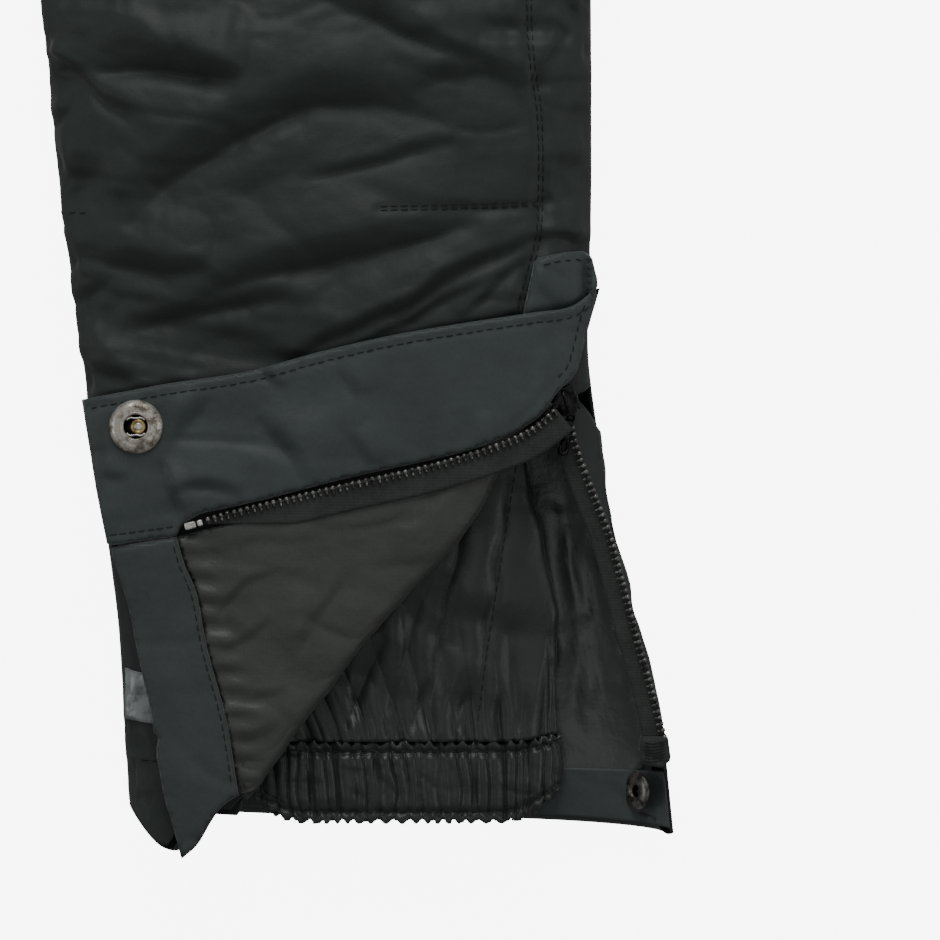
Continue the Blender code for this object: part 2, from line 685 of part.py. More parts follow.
def right_opening():
    """Closed zip of the right leg, its flap and snap."""
    bottom, top = RIGHT_ZIP[1], RIGHT_ZIP[0]
    origin, direction, up = zip_closed("right", bottom, top, pull_way=-1)
    outward = direction.cross(up).normalized()
    if outward.x > 0:
        outward = -outward
    length = (Vector((*top, 0)) - Vector((*bottom, 0))).length
    hinge = origin + direction * FLAP_END - outward * FLAP_IN + up * (FLAP_LIFT + FLAP_THICK / 2)
    pivot = empty("right_flap_pivot", hinge, direction, up)
    across = outward.dot(frame_of(pivot).to_3x3().col[0])
    wide = (FLAP_IN + FLAP_OUT) * across
    long = length - FLAP_END + 0.008
    outline = [(0, 0), (wide, 0), (wide, long * 0.86), (wide * 0.55, long), (0, long)]
    if across < 0:
        outline.reverse()
    plate("right_storm_flap", outline, FLAP_THICK, -FLAP_THICK / 2, SHELL_CLOTH, pivot)
    snap_x = (FLAP_IN + RIGHT_SNAP_OUT) * across
    snap_y = RIGHT_SNAP_END - FLAP_END
    snap_cap("right_snap_cap", pivot, (snap_x, snap_y), FLAP_THICK / 2 + 0.0003, 0.0)
    below = origin + direction * RIGHT_SNAP_END + outward * RIGHT_SNAP_OUT
    ground = crown(below.x, below.y)
    foot = empty("right_stud_place", ground + up * 0.0008, direction, up)
    tall = (below - ground).dot(up) + FLAP_LIFT - 0.0016
    profile = [(0, tall), (0.0024, tall), (0.0028, tall - 0.0010), (0.0020, tall - 0.0016),
               (0.0024, 0.0008), (0.0058, 0.0006), (0.0058, 0.0), (0, 0)]
    turned("right_snap_stud", profile, NICKEL, foot)


def trims(made):
    """Hem facing inside the left back, and the reflective strip of each leg."""
    rows = (-1.0, -0.3800, -0.3720)
    made["left_back_hem_facing"] = panel("left_back_hem_facing", 1, -1, FACING, SHELL_CLOTH, rows,
                                         hem_step=0.0015, span=(0.35, pi - 0.30))
    for word, side in (("left", 1), ("right", -1)):
        panel(f"{word}_reflector", side, 1, (-0.0008, 0.0004), REFLECTIVE, (-0.3590, -0.3440),
              span=(0.25, 0.95), columns=6)


pieces = trousers()
opening_cuts(pieces)
waist()
pockets()
gaiters()
left_opening()
trims(pieces)
left_stud(pieces)
right_opening()
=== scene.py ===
"""The looks of a child's ski pants, laid flat with the front up and the left leg's zip open.

X runs across the garment with the wearer's left leg at +X, Y runs from the hems up to the waist, and
Z rises from the floor. Every length is in metres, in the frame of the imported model.
"""

import json
from math import cos, pi, radians, sin

import bmesh
import bpy
import numpy as np
from mathutils import Matrix, Vector
from mathutils.bvhtree import BVHTree
from mathutils.geometry import delaunay_2d_cdt


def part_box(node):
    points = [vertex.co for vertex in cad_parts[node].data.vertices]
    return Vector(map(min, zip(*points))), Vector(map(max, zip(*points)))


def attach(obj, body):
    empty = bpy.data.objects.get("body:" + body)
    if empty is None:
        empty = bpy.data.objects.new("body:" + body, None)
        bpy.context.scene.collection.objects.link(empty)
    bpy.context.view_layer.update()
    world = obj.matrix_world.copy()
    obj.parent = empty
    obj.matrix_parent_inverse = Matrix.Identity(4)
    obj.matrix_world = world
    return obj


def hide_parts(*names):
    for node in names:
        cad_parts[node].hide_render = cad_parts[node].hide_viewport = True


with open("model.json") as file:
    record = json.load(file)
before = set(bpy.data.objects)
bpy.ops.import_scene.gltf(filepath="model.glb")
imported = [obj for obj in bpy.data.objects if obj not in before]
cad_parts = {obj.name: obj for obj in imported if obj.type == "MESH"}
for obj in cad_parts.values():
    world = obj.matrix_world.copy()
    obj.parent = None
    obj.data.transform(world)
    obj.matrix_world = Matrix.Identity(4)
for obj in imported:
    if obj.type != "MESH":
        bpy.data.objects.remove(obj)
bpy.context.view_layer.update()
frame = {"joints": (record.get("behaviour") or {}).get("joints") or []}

JOINTS = {joint["name"]: joint for joint in frame["joints"]}

# ---------------------------------------------------------------- the cut of the garment

# Outline of one leg and half of the hips, as (y, x) pairs from the hem to the waist.
INNER_EDGE = (
    (-0.400, 0.0662), (-0.360, 0.0640), (-0.330, 0.0622), (-0.295, 0.0575), (-0.247, 0.0510),
    (-0.2035, 0.0450), (-0.1435, 0.0396), (-0.060, 0.0290), (0.060, 0.0120), (0.130, 0.0035),
    (0.150, 0.0000), (0.420, 0.0000),
)
OUTER_EDGE = (
    (-0.400, 0.2300), (-0.3616, 0.2262), (-0.330, 0.2180), (-0.295, 0.2095), (-0.250, 0.2032),
    (-0.200, 0.2046), (-0.1435, 0.2044), (-0.060, 0.2030), (0.060, 0.2000), (0.150, 0.1945),
    (0.200, 0.1890), (0.260, 0.1800), (0.330, 0.1660), (0.365, 0.1600), (0.420, 0.1580),
)
LOFT = ((-0.400, 0.0260), (-0.250, 0.0300), (-0.1435, 0.0330), (0.060, 0.0360), (0.150, 0.0380),
        (0.260, 0.0360), (0.365, 0.0320), (0.420, 0.0310))
HEM_INNER_Y = -0.3838
HEM_OUTER_Y = -0.3940
OPENED_HEM_Y = -0.385
PANEL_TOP_Y = 0.3675
BAND_LOW_Y = 0.3680
BAND_TOP_Y = 0.4006
BAND_MIDDLE_Y = 0.3843
CROTCH_Y = 0.150
CROTCH_BLEND = 0.060
FRONT_SQUARENESS = 2.8
BACK_SQUARENESS = 4.0
SEAM_GAP = 0.0020
SMOOTHING = 0.006

# Layers of the cloth: how far in from the outer face each starts, and how thick it is.
SHELL = (0.0, 0.0008)
PADDING = (0.0016, 0.0020)
LINING = (0.0044, 0.0005)
FACING = (0.0053, 0.0005)
HEM_STEP = 0.003

# Left leg: the edge of the opened front, the folded corner and its flap, seen from above.
ZIP_TOP = (0.1965, -0.2650)
CREASE = (
    (0.1970, -0.2640), (0.1860, -0.2722), (0.1788, -0.2803), (0.1713, -0.2965), (0.1608, -0.3103),
    (0.1485, -0.3229), (0.1350, -0.3385), (0.1260, -0.3505), (0.1161, -0.3631), (0.1050, -0.3787),
    (0.0993, -0.3814),
)
TIP = ((0.0993, -0.3814), (0.0945, -0.3845), (0.0909, -0.3892), (0.0868, -0.3962), (0.0819, -0.4006))
CORNER_SIDE = (
    (0.0819, -0.4006), (0.0806, -0.3958), (0.0789, -0.3892), (0.0771, -0.3835), (0.0753, -0.3742),
    (0.0744, -0.3680), (0.0752, -0.3640), (0.0737, -0.3632), (0.0729, -0.3565), (0.0702, -0.3450),
    (0.0681, -0.3352), (0.0666, -0.3271), (0.0645, -0.3196), (0.0612, -0.3097),
)
FACING_SEAM = ((0.0807, -0.3043), (0.0831, -0.3127), (0.0867, -0.3214), (0.0894, -0.3360),
               (0.0921, -0.3463), (0.0956, -0.3595), (0.0984, -0.3772), (0.0993, -0.3814))
CORNER_TOP = ((0.0612, -0.3070), (0.0807, -0.3043), (0.0960, -0.3005), (0.1309, -0.2905),
              (0.1521, -0.2850), (0.1779, -0.2758), (0.1940, -0.2660))
FLAP_TOP = (
    (0.0522, -0.2635), (0.0650, -0.2612), (0.0780, -0.2588), (0.1020, -0.2551), (0.1245, -0.2490),
    (0.1470, -0.2440), (0.1680, -0.2405), (0.1863, -0.2377), (0.1977, -0.2359), (0.2052, -0.2304),
    (0.2064, -0.2290),
)
FLAP_SIDE = ((0.2069, -0.2300), (0.2062, -0.2325), (0.2040, -0.2400), (0.2022, -0.2470),
             (0.2010, -0.2520), (0.1992, -0.2563), (0.1941, -0.2614), (0.1905, -0.2665),
             (0.1881, -0.2692), (0.1836, -0.2722))
FLAP_ZIP_SIDE = ((0.1836, -0.2722), (0.1740, -0.2765), (0.1620, -0.2802), (0.1305, -0.2872),
                 (0.1060, -0.2935), (0.0878, -0.2975))
FLAP_END = ((0.0878, -0.2975), (0.0820, -0.3010), (0.0807, -0.3043), (0.0600, -0.3070),
            (0.0566, -0.2900), (0.0540, -0.2740), (0.0522, -0.2635))
FRONT_TEETH = ((0.0892, -0.2998), (0.1020, -0.2964), (0.1305, -0.2896), (0.1560, -0.2838),
               (0.1750, -0.2780), (0.1860, -0.2731), (0.1940, -0.2668))
BACK_TEETH = ((0.1976, -0.2690), (0.2000, -0.2790), (0.2046, -0.2911), (0.2096, -0.3040),
              (0.2130, -0.3163), (0.2180, -0.3350), (0.2225, -0.3510), (0.2262, -0.3655))
BACK_TEETH_Z = (0.0250, 0.0180)
PLATE_SLOPE = 0.030
PLATE_RISE = 0.0010
LINING_Z = 0.0017
FACING_Z = 0.0024
FLAP_Z = 0.0022
FLAP_THICK = 0.0010
SNAP_ON_FLAP = (0.0687, -0.2716)
STUD_PLACE = (0.2184, -0.3814)
ROLL_BULGE = 0.0022
CREASE_TURN = 0.0028

GAITER_INNER = ((-0.400, 0.1030), (-0.3652, 0.1000), (-0.340, 0.0820), (-0.300, 0.0720), (-0.215, 0.0640))
GAITER_OUTER = ((-0.400, 0.1935), (-0.3652, 0.1935), (-0.3544, 0.1950), (-0.3352, 0.1938),
                (-0.2998, 0.1887), (-0.2782, 0.1842), (-0.215, 0.1800))
GAITER_CLEAR = 0.0072
CUFF_TOP_Y = -0.3663
CUFF_LOW_Y = -0.3900
GAITER_TOP_Y = -0.2150
GAITER_FLOOR = 0.0062
GAITER_SEAM = ((0.1810, -0.2830), (0.1770, -0.3080), (0.1735, -0.3300), (0.1712, -0.3460), (0.1695, -0.3600))
CUFF_SEAMS = (0.12, 0.88)

# Zips.
TOOTH_PITCH = 0.0020
TAPE_HALF = 0.009
POCKET_TAPE_HALF = 0.007
TAPE_LIP = 0.0008
FRONT_TAPE_WIDE = 0.0074
BACK_TAPE_WIDE = 0.0056
WELT_WIDE = 0.0060
WELT_AWAY = 0.0032
WELT_SEAM = 0.0052
SLIDER_LONG = 0.009
PULL_Z = 0.0036
PULL_LONG = 0.0135
FLY_LENGTH = 0.155
POCKET_LENGTH = 0.131
RIGHT_ZIP_LENGTH = 0.1157
SNAP_R = 0.0080

STITCH_PITCH = 0.0030
STITCH_LONG = 0.0023
STITCH_RADIUS = 0.00017
TOPSTITCH_INSET = 0.0031
DOUBLE_ROW = (-0.0007, 0.0007)
DART_ROWS = (-0.0006, 0.0006)
CROTCH_ROW = 0.0016

# Distance between points along curves that outline or guide a piece.
CURVE_STEP = 0.002
UP = Vector((0, 0, 1))
UPSIDE_DOWN = Matrix.Rotation(pi, 4, "X")

# Folds pressed into the left leg's front: path, depth, reach above the path and below it.
LEFT_FOLDS = (
    (((0.040, -0.1660), (0.050, -0.1655), (0.066, -0.1655), (0.081, -0.1665), (0.0915, -0.1682),
      (0.0990, -0.1705)), 0.0076, 0.0125, 0.0024, 1.7, 0.35),
    (((0.066, -0.2130), (0.078, -0.1995), (0.093, -0.1905), (0.106, -0.1830), (0.122, -0.1770),
      (0.140, -0.1765), (0.162, -0.1825)), 0.0066, 0.0105, 0.0030),
    (((0.118, -0.1990), (0.130, -0.1965), (0.145, -0.1922), (0.166, -0.1865)), 0.0026, 0.0035, 0.0018),
    (((0.092, -0.2050), (0.108, -0.1990), (0.122, -0.1935)), 0.0014, 0.0050, 0.0030),
    (((0.040, -0.2200), (0.052, -0.2215), (0.064, -0.2245), (0.078, -0.2258), (0.092, -0.2250)),
     0.0056, 0.0085, 0.0024, 1.4, 0.45),
    (((0.082, -0.2365), (0.100, -0.2285), (0.120, -0.2244), (0.138, -0.2210), (0.155, -0.2158),
      (0.172, -0.2110)), 0.0058, 0.0080, 0.0026),
    (((0.064, -0.2440), (0.082, -0.2395), (0.097, -0.2362), (0.116, -0.2335)), 0.0044, 0.0050, 0.0018),
    (((0.114, -0.2530), (0.130, -0.2440), (0.147, -0.2366), (0.161, -0.2285), (0.175, -0.2215),
      (0.192, -0.2145)), 0.0050, 0.0034, 0.0024),
    (((0.135, -0.2475), (0.150, -0.2400), (0.162, -0.2335), (0.178, -0.2265)), 0.0030, 0.0026, 0.0022),
    (((0.166, -0.2400), (0.173, -0.2330), (0.178, -0.2270), (0.188, -0.2205)), 0.0026, 0.0022, 0.0020),
    (((0.0420, -0.1605), (0.053, -0.1690), (0.064, -0.1785), (0.0745, -0.1875)),
     0.0030, 0.0040, 0.0018, 0.5, 1.2),
    (((0.038, -0.1600), (0.044, -0.1650), (0.054, -0.1725)), 0.0018, 0.0020, 0.0016),
    (((0.110, -0.1405), (0.126, -0.1455), (0.144, -0.1535), (0.158, -0.1600), (0.168, -0.1630)),
     0.0052, 0.0090, 0.0034, 0.8, 0.4),
    (((0.150, -0.1730), (0.160, -0.1690), (0.172, -0.1665), (0.184, -0.1710)), 0.0036, 0.0060, 0.0030),
    (((0.048, -0.2515), (0.058, -0.2560), (0.070, -0.2615)), 0.0034, 0.0060, 0.0018),
    (((0.186, -0.1760), (0.190, -0.1650), (0.196, -0.1560), (0.204, -0.1480)), 0.0026, 0.0024, 0.0040),
    (((0.186, -0.2170), (0.194, -0.2150), (0.204, -0.2170)), 0.0020, 0.0022, 0.0014),
    (((0.040, -0.1830), (0.048, -0.1790), (0.053, -0.1720)), 0.0020, 0.0040, 0.0016),
    (((0.040, -0.1960), (0.052, -0.1975), (0.060, -0.1940)), 0.0018, 0.0050, 0.0020),
    (((0.044, -0.2380), (0.054, -0.2330), (0.062, -0.2290)), 0.0018, 0.0030, 0.0020),
    (((0.0590, -0.3300), (0.0635, -0.3420), (0.0660, -0.3540)), 0.0018, 0.0026, 0.0022),
    (((0.0640, -0.3560), (0.0690, -0.3680), (0.0750, -0.3800), (0.0790, -0.3900)), 0.0026, 0.0030, 0.0024),
    (((0.0610, -0.3660), (0.0660, -0.3780), (0.0720, -0.3900)), 0.0022, 0.0026, 0.0022),
    (((0.0610, -0.3800), (0.0660, -0.3860), (0.0700, -0.3940)), 0.0018, 0.0024, 0.0020),
)
FLAP_FOLDS = (
    (((0.075, -0.2860), (0.082, -0.2740), (0.0955, -0.2600)), 0.0013, 0.0050, 0.0040),
    (((0.104, -0.2690), (0.1125, -0.2785), (0.1190, -0.2900)), 0.0016, 0.0040, 0.0025),
    (((0.131, -0.2745), (0.138, -0.2850)), 0.0009, 0.0030, 0.0030),
    (((0.168, -0.2670), (0.1665, -0.2790)), 0.0008, 0.0030, 0.0025),
    (((0.104, -0.2540), (0.112, -0.2615)), 0.0010, 0.0025, 0.0025),
    (((0.129, -0.2550), (0.134, -0.2640)), 0.0008, 0.0030, 0.0020),
    (((0.078, -0.2915), (0.088, -0.2895), (0.101, -0.2925)), 0.0014, 0.0030, 0.0030),
    (((0.0745, -0.2800), (0.078, -0.2900), (0.084, -0.3030)), 0.0014, 0.0018, 0.0022),
    (((0.058, -0.2860), (0.066, -0.2880)), 0.0007, 0.0030, 0.0020),
)
LINING_FOLDS = (
    (((0.086, -0.3260), (0.093, -0.3280), (0.101, -0.3190), (0.112, -0.3150)), 0.0010, 0.0020, 0.0030),
    (((0.117, -0.3400), (0.124, -0.3290), (0.133, -0.3150)), 0.0012, 0.0035, 0.0025),
    (((0.094, -0.3380), (0.103, -0.3350), (0.110, -0.3290)), 0.0008, 0.0025, 0.0020),
    (((0.098, -0.3560), (0.106, -0.3530), (0.116, -0.3500)), 0.0008, 0.0030, 0.0020),
    (((0.100, -0.3660), (0.107, -0.3640), (0.113, -0.3600)), 0.0007, 0.0030, 0.0020),
    (((0.090, -0.3100), (0.105, -0.3070), (0.125, -0.3050)), 0.0006, 0.0030, 0.0030),
    (((0.145, -0.3110), (0.155, -0.2990), (0.166, -0.2890)), -0.0010, 0.0050, 0.0050),
)
GAITER_FOLDS = (
    (((0.1690, -0.3600), (0.1712, -0.3460), (0.1735, -0.3300), (0.1765, -0.3080), (0.1800, -0.2840)),
     0.0024, 0.0070, 0.0014),
    (((0.1560, -0.3620), (0.1580, -0.3400), (0.1610, -0.3200), (0.1670, -0.2980)), 0.0030, 0.0060, 0.0020),
    (((0.1430, -0.3640), (0.1480, -0.3430), (0.1530, -0.3240), (0.1580, -0.3120)), 0.0036, 0.0050, 0.0026),
    (((0.1290, -0.3650), (0.1350, -0.3500), (0.1430, -0.3340)), 0.0032, 0.0042, 0.0024),
    (((0.1830, -0.3640), (0.1800, -0.3500), (0.1805, -0.3300)), 0.0020, 0.0045, 0.0018),
    (((0.1500, -0.3640), (0.1520, -0.3560), (0.1560, -0.3480)), 0.0014, 0.0024, 0.0014),
    (((0.1640, -0.3640), (0.1650, -0.3560), (0.1690, -0.3500)), 0.0014, 0.0024, 0.0014),
    (((0.1760, -0.3640), (0.1755, -0.3570), (0.1780, -0.3510)), 0.0012, 0.0022, 0.0012),
)
BACK_LINING_FOLDS = (
    (((0.1990, -0.3640), (0.2010, -0.3400), (0.1990, -0.3150), (0.1960, -0.2880)), 0.0026, 0.0050, 0.0018),
    (((0.2090, -0.3660), (0.2080, -0.3480), (0.2060, -0.3280), (0.2050, -0.3080)), 0.0022, 0.0045, 0.0016),
    (((0.2010, -0.3360), (0.2060, -0.3300), (0.2110, -0.3270)), 0.0018, 0.0040, 0.0014),
    (((0.2050, -0.3580), (0.2110, -0.3530), (0.2170, -0.3520)), 0.0018, 0.0040, 0.0014),
    (((0.1990, -0.3060), (0.2030, -0.3010), (0.2060, -0.2980)), 0.0014, 0.0035, 0.0012),
)

# ---------------------------------------------------------------- materials


def srgb(red, green, blue):
    """Linear colour of an 8-bit sRGB one."""
    channels = np.array((red, green, blue)) / 255
    linear = np.where(channels <= 0.04045, channels / 12.92, ((channels + 0.055) / 1.055) ** 2.4)
    return (*linear.tolist(), 1.0)


def scaled(colour, factor):
    """The same colour, lighter or darker."""
    return (*[min(channel * factor, 1.0) for channel in colour[:3]], 1.0)


class Nodes:
    """Short names for building a material's nodes."""

    def __init__(self, name):
        self.material = bpy.data.materials.new(name)
        self.material.use_nodes = True
        self.tree = self.material.node_tree
        self.shader = self.tree.nodes["Principled BSDF"]
        self.place = self.add("ShaderNodeTexCoord").outputs["Object"]

    def add(self, kind, **settings):
        node = self.tree.nodes.new(kind)
        for key, value in settings.items():
            setattr(node, key, value)
        return node

    def link(self, source, target):
        self.tree.links.new(source, target)

    def noise(self, scale, detail=3.0, roughness=0.55, stretch=None):
        node = self.add("ShaderNodeTexNoise")
        node.inputs["Scale"].default_value = scale
        node.inputs["Detail"].default_value = detail
        node.inputs["Roughness"].default_value = roughness
        place = self.place
        if stretch is not None:
            mapping = self.add("ShaderNodeMapping")
            mapping.inputs["Scale"].default_value = stretch
            self.link(place, mapping.inputs["Vector"])
            place = mapping.outputs["Vector"]
        self.link(place, node.inputs["Vector"])
        return node.outputs["Fac"]

    def wave(self, direction, period):
        """Threads that repeat along one axis."""
        node = self.add("ShaderNodeTexWave", wave_type="BANDS", bands_direction=direction)
        node.inputs["Scale"].default_value = pi / (10 * period)
        node.inputs["Distortion"].default_value = 0.6
        node.inputs["Detail Scale"].default_value = 1.5
        self.link(self.place, node.inputs["Vector"])
        return node.outputs["Fac"]

    def math(self, operation, first, second):
        node = self.add("ShaderNodeMath", operation=operation)
        for socket, value in zip(node.inputs, (first, second)):
            if isinstance(value, (int, float)):
                socket.default_value = value
            else:
                self.link(value, socket)
        return node.outputs[0]

    def between(self, factor, low, high):
        """A number from low to high as the factor goes from 0.3 to 0.7."""
        node = self.add("ShaderNodeMapRange")
        node.inputs["From Min"].default_value = 0.3
        node.inputs["From Max"].default_value = 0.7
        node.inputs["To Min"].default_value = low
        node.inputs["To Max"].default_value = high
        self.link(factor, node.inputs["Value"])
        return node.outputs["Result"]

    def ramp(self, factor, *stops):
        node = self.add("ShaderNodeValToRGB")
        ramp = node.color_ramp
        while len(ramp.elements) < len(stops):
            ramp.elements.new(0.5)
        for element, (position, colour) in zip(ramp.elements, stops):
            element.position = position
            element.color = colour
        self.link(factor, node.inputs["Fac"])
        return node.outputs["Color"]

    def bump(self, height, distance, strength, under=None):
        node = self.add("ShaderNodeBump")
        node.inputs["Distance"].default_value = distance
        node.inputs["Strength"].default_value = strength
        self.link(height, node.inputs["Height"])
        if under is not None:
            self.link(under, node.inputs["Normal"])
        return node.outputs["Normal"]


def cloth(name, colour, roughness=0.5, sheen=0.15, gloss=0.5, period=0.00045, weave=0.12, uneven=0.12,
          crinkle=0.3, tint=(1.0, 1.0, 1.0)):
    """Woven cloth: threads, uneven yarn, soft blotches in the dye, and small crinkles."""
    made = Nodes(name)
    shader = made.shader
    blotch = made.noise(55.0, 4.0, 0.6)
    yarn = made.noise(1500.0, 2.0, 0.6, (1.0, 0.45, 1.0))
    slub = made.noise(420.0, 3.0, 0.6, (0.5, 1.0, 1.0))
    threads = made.math("MULTIPLY", made.wave("X", period), made.wave("Y", period))
    shade = made.math("ADD", made.math("MULTIPLY", blotch, 0.45), made.math("MULTIPLY", yarn, 0.3))
    shade = made.math("ADD", shade, made.math("MULTIPLY", slub, 0.25))
    low = scaled(colour, 1 - uneven)
    high = scaled([c * t for c, t in zip(colour[:3], tint)], 1 + uneven)
    made.link(made.ramp(shade, (0.38, low), (0.62, high)), shader.inputs["Base Color"])
    rough = made.between(blotch, roughness - 0.05, roughness + 0.05)
    made.link(rough, shader.inputs["Roughness"])
    soft = made.bump(made.noise(240.0, 3.0, 0.55), 0.0006, crinkle)
    height = made.math("ADD", threads, made.math("MULTIPLY", yarn, 0.8))
    made.link(made.bump(height, 0.00012, weave, soft), shader.inputs["Normal"])
    shader.inputs["Sheen Weight"].default_value = sheen
    shader.inputs["Sheen Roughness"].default_value = 0.45
    shader.inputs["Specular IOR Level"].default_value = gloss
    return made.material


def metal(name, bright, dark, roughness, mottle=260.0, wear=0.5, metallic=1.0):
    """Metal with mottled tarnish, fine scratches and brighter worn spots."""
    made = Nodes(name)
    shader = made.shader
    spots = made.noise(mottle, 6.0, 0.7)
    scratch = made.noise(900.0, 2.0, 0.5, (0.15, 1.0, 1.0))
    colour = made.ramp(spots, (0.40, dark), (0.40 + 0.25 * wear, bright))
    made.link(colour, shader.inputs["Base Color"])
    made.link(made.between(spots, roughness + 0.12, roughness - 0.08), shader.inputs["Roughness"])
    made.link(made.bump(made.math("ADD", scratch, spots), 0.00006, 0.5), shader.inputs["Normal"])
    shader.inputs["Metallic"].default_value = metallic
    return made.material


def wadding(name):
    """Soft grey polyester filling, with loose fibres."""
    made = Nodes(name)
    shader = made.shader
    fibres = made.noise(700.0, 6.0, 0.75, (1.0, 0.2, 1.0))
    made.link(made.ramp(fibres, (0.3, srgb(84, 86, 84)), (0.7, srgb(112, 114, 112))),
              shader.inputs["Base Color"])
    made.link(made.bump(fibres, 0.0008, 0.8), shader.inputs["Normal"])
    shader.inputs["Roughness"].default_value = 0.95
    shader.inputs["Sheen Weight"].default_value = 0.4
    return made.material


def reflective_tape(name):
    """Grey tape of fine glass beads, worn and creased."""
    made = Nodes(name)
    shader = made.shader
    beads = made.add("ShaderNodeTexVoronoi")
    beads.inputs["Scale"].default_value = 1600.0
    made.link(made.place, beads.inputs["Vector"])
    worn = made.noise(180.0, 5.0, 0.7)
    made.link(made.ramp(worn, (0.35, srgb(104, 110, 110)), (0.6, srgb(166, 172, 172))),
              shader.inputs["Base Color"])
    made.link(made.between(worn, 0.5, 0.3), shader.inputs["Roughness"])
    made.link(made.bump(beads.outputs["Distance"], 0.0001, 0.4), shader.inputs["Normal"])
    shader.inputs["Metallic"].default_value = 0.35
    return made.material


SHELL_CLOTH = cloth("shell cloth", srgb(50, 57, 55), 0.56, 0.20, 0.40, tint=(0.97, 1.0, 1.0))
FLAP_CLOTH = cloth("flap cloth", srgb(70, 78, 77), 0.54, 0.20, 0.40, tint=(0.97, 1.0, 1.0))
FACING_CLOTH = cloth("facing cloth", srgb(67, 75, 74), 0.54, 0.18, 0.45)
LINING_CLOTH = cloth("lining cloth", srgb(69, 73, 70), 0.42, 0.12, 0.55, 0.0004, 0.18, 0.10, 0.5,
                     (1.04, 1.0, 0.95))
SATIN_CLOTH = cloth("satin lining", srgb(62, 67, 66), 0.34, 0.15, 0.8, 0.0004, 0.10, 0.10, 0.5)
GAITER_CLOTH = cloth("gaiter cloth", srgb(45, 49, 48), 0.42, 0.12, 0.6, 0.0004, 0.12, 0.12, 0.4)
BAND_CLOTH = cloth("band cloth", srgb(46, 52, 51), 0.55, 0.18, 0.4)
TAPE_CLOTH = cloth("zip tape cloth", srgb(64, 67, 65), 0.75, 0.10, 0.25, 0.0009, 0.7, 0.25, 0.2)
THREAD = cloth("sewing thread", srgb(33, 37, 36), 0.60, 0.10, 0.35, 0.0003, 0.4, 0.2, 0.1)
ELASTIC_CLOTH = cloth("woven elastic", srgb(38, 41, 40), 0.65, 0.10, 0.3, 0.0011, 0.9, 0.2, 0.2)
WADDING = wadding("wadding")
REFLECTIVE = reflective_tape("reflective tape")
NICKEL = metal("old nickel", srgb(214, 209, 199), srgb(128, 121, 108), 0.32, metallic=0.55)
DULL_NICKEL = metal("dull nickel", srgb(140, 138, 132), srgb(58, 56, 52), 0.36, 420.0, 0.9, 0.7)
BRASS = metal("brass", srgb(216, 190, 128), srgb(130, 108, 66), 0.30, metallic=0.55)
PALE_METAL = metal("pale metal", srgb(236, 236, 230), srgb(180, 178, 172), 0.28, metallic=0.5)
DARK_METAL = metal("black metal", srgb(64, 64, 66), srgb(22, 22, 24), 0.34, 400.0, 0.9, 0.8)
TEETH_METAL = metal("teeth metal", srgb(165, 165, 160), srgb(50, 50, 50), 0.26, 700.0, 0.9, 0.6)
PLASTIC_TEETH = metal("moulded teeth", srgb(70, 72, 72), srgb(30, 32, 32), 0.42, 500.0, 0.9, 0.2)

# The record's slot of each material that stamped pieces are made of.
FITTING_SLOTS = {material.name: slot for slot, materials in (
    ("old_nickel", (NICKEL, DULL_NICKEL, BRASS, PALE_METAL)), ("dark_metal", (DARK_METAL,)),
    ("zip_tape", (TEETH_METAL, PLASTIC_TEETH)), ("shell_cloth", (THREAD,))) for material in materials}

# ---------------------------------------------------------------- curves, grids and fields


def smooth_table(table, sigma=SMOOTHING):
    """A (y, value) table with its corners rounded, as two dense arrays."""
    keys, values = np.array(table).T
    step = 0.001
    margin = 4 * sigma
    ends = (np.array((keys[0] - margin,)), np.array((keys[-1] + margin,)))
    first = values[0] - margin * (values[1] - values[0]) / (keys[1] - keys[0])
    last = values[-1] + margin * (values[-1] - values[-2]) / (keys[-1] - keys[-2])
    keys = np.concatenate((ends[0], keys, ends[1]))
    values = np.concatenate(((first,), values, (last,)))
    fine = np.arange(keys[0], keys[-1], step)
    reach = int(3 * sigma / step)
    kernel = np.exp(-0.5 * (np.arange(-reach, reach + 1) * step / sigma) ** 2)
    raw = np.pad(np.interp(fine, keys, values), reach, mode="edge")
    return fine, np.convolve(raw, kernel / kernel.sum(), "valid")


INNER = smooth_table(INNER_EDGE)
OUTER = smooth_table(OUTER_EDGE)
THICKNESS = smooth_table(LOFT, 0.020)
GAITER_IN = smooth_table(GAITER_INNER)
GAITER_OUT = smooth_table(GAITER_OUTER)


def at(table, y):
    """Value of a smoothed table at y."""
    return np.interp(y, *table)


def smooth_path(points, step=0.001):
    """Points every step along a smooth curve through these points, in two or three dimensions."""
    given = np.array(points, float)
    before = 2 * given[:1] - given[1:2]
    after = 2 * given[-1:] - given[-2:-1]
    ends = np.concatenate((before, given, after))
    t = np.linspace(0, 1, 24, endpoint=False)[:, None]
    runs = []
    for a, b, c, d in zip(ends, ends[1:], ends[2:], ends[3:]):
        runs.append(0.5 * (2 * b + (c - a) * t + (2 * a - 5 * b + 4 * c - d) * t ** 2
                           + (3 * b - a - 3 * c + d) * t ** 3))
    fine = np.concatenate((*runs, given[-1:]))
    return evenly(fine, step)


def evenly(points, step):
    """The same line with its points spaced evenly, about step apart."""
    points = np.array(points, float)
    gone = np.concatenate(((0.0,), np.cumsum(np.linalg.norm(np.diff(points, axis=0), axis=1))))
    count = max(int(round(gone[-1] / step)), 1)
    places = np.linspace(0, gone[-1], count + 1)
    return np.stack([np.interp(places, gone, column) for column in points.T], axis=1)


def even_loop(points, step=CURVE_STEP):
    """A closed outline with its points spaced evenly, about step apart."""
    return evenly((*points, points[0]), step)[:-1]


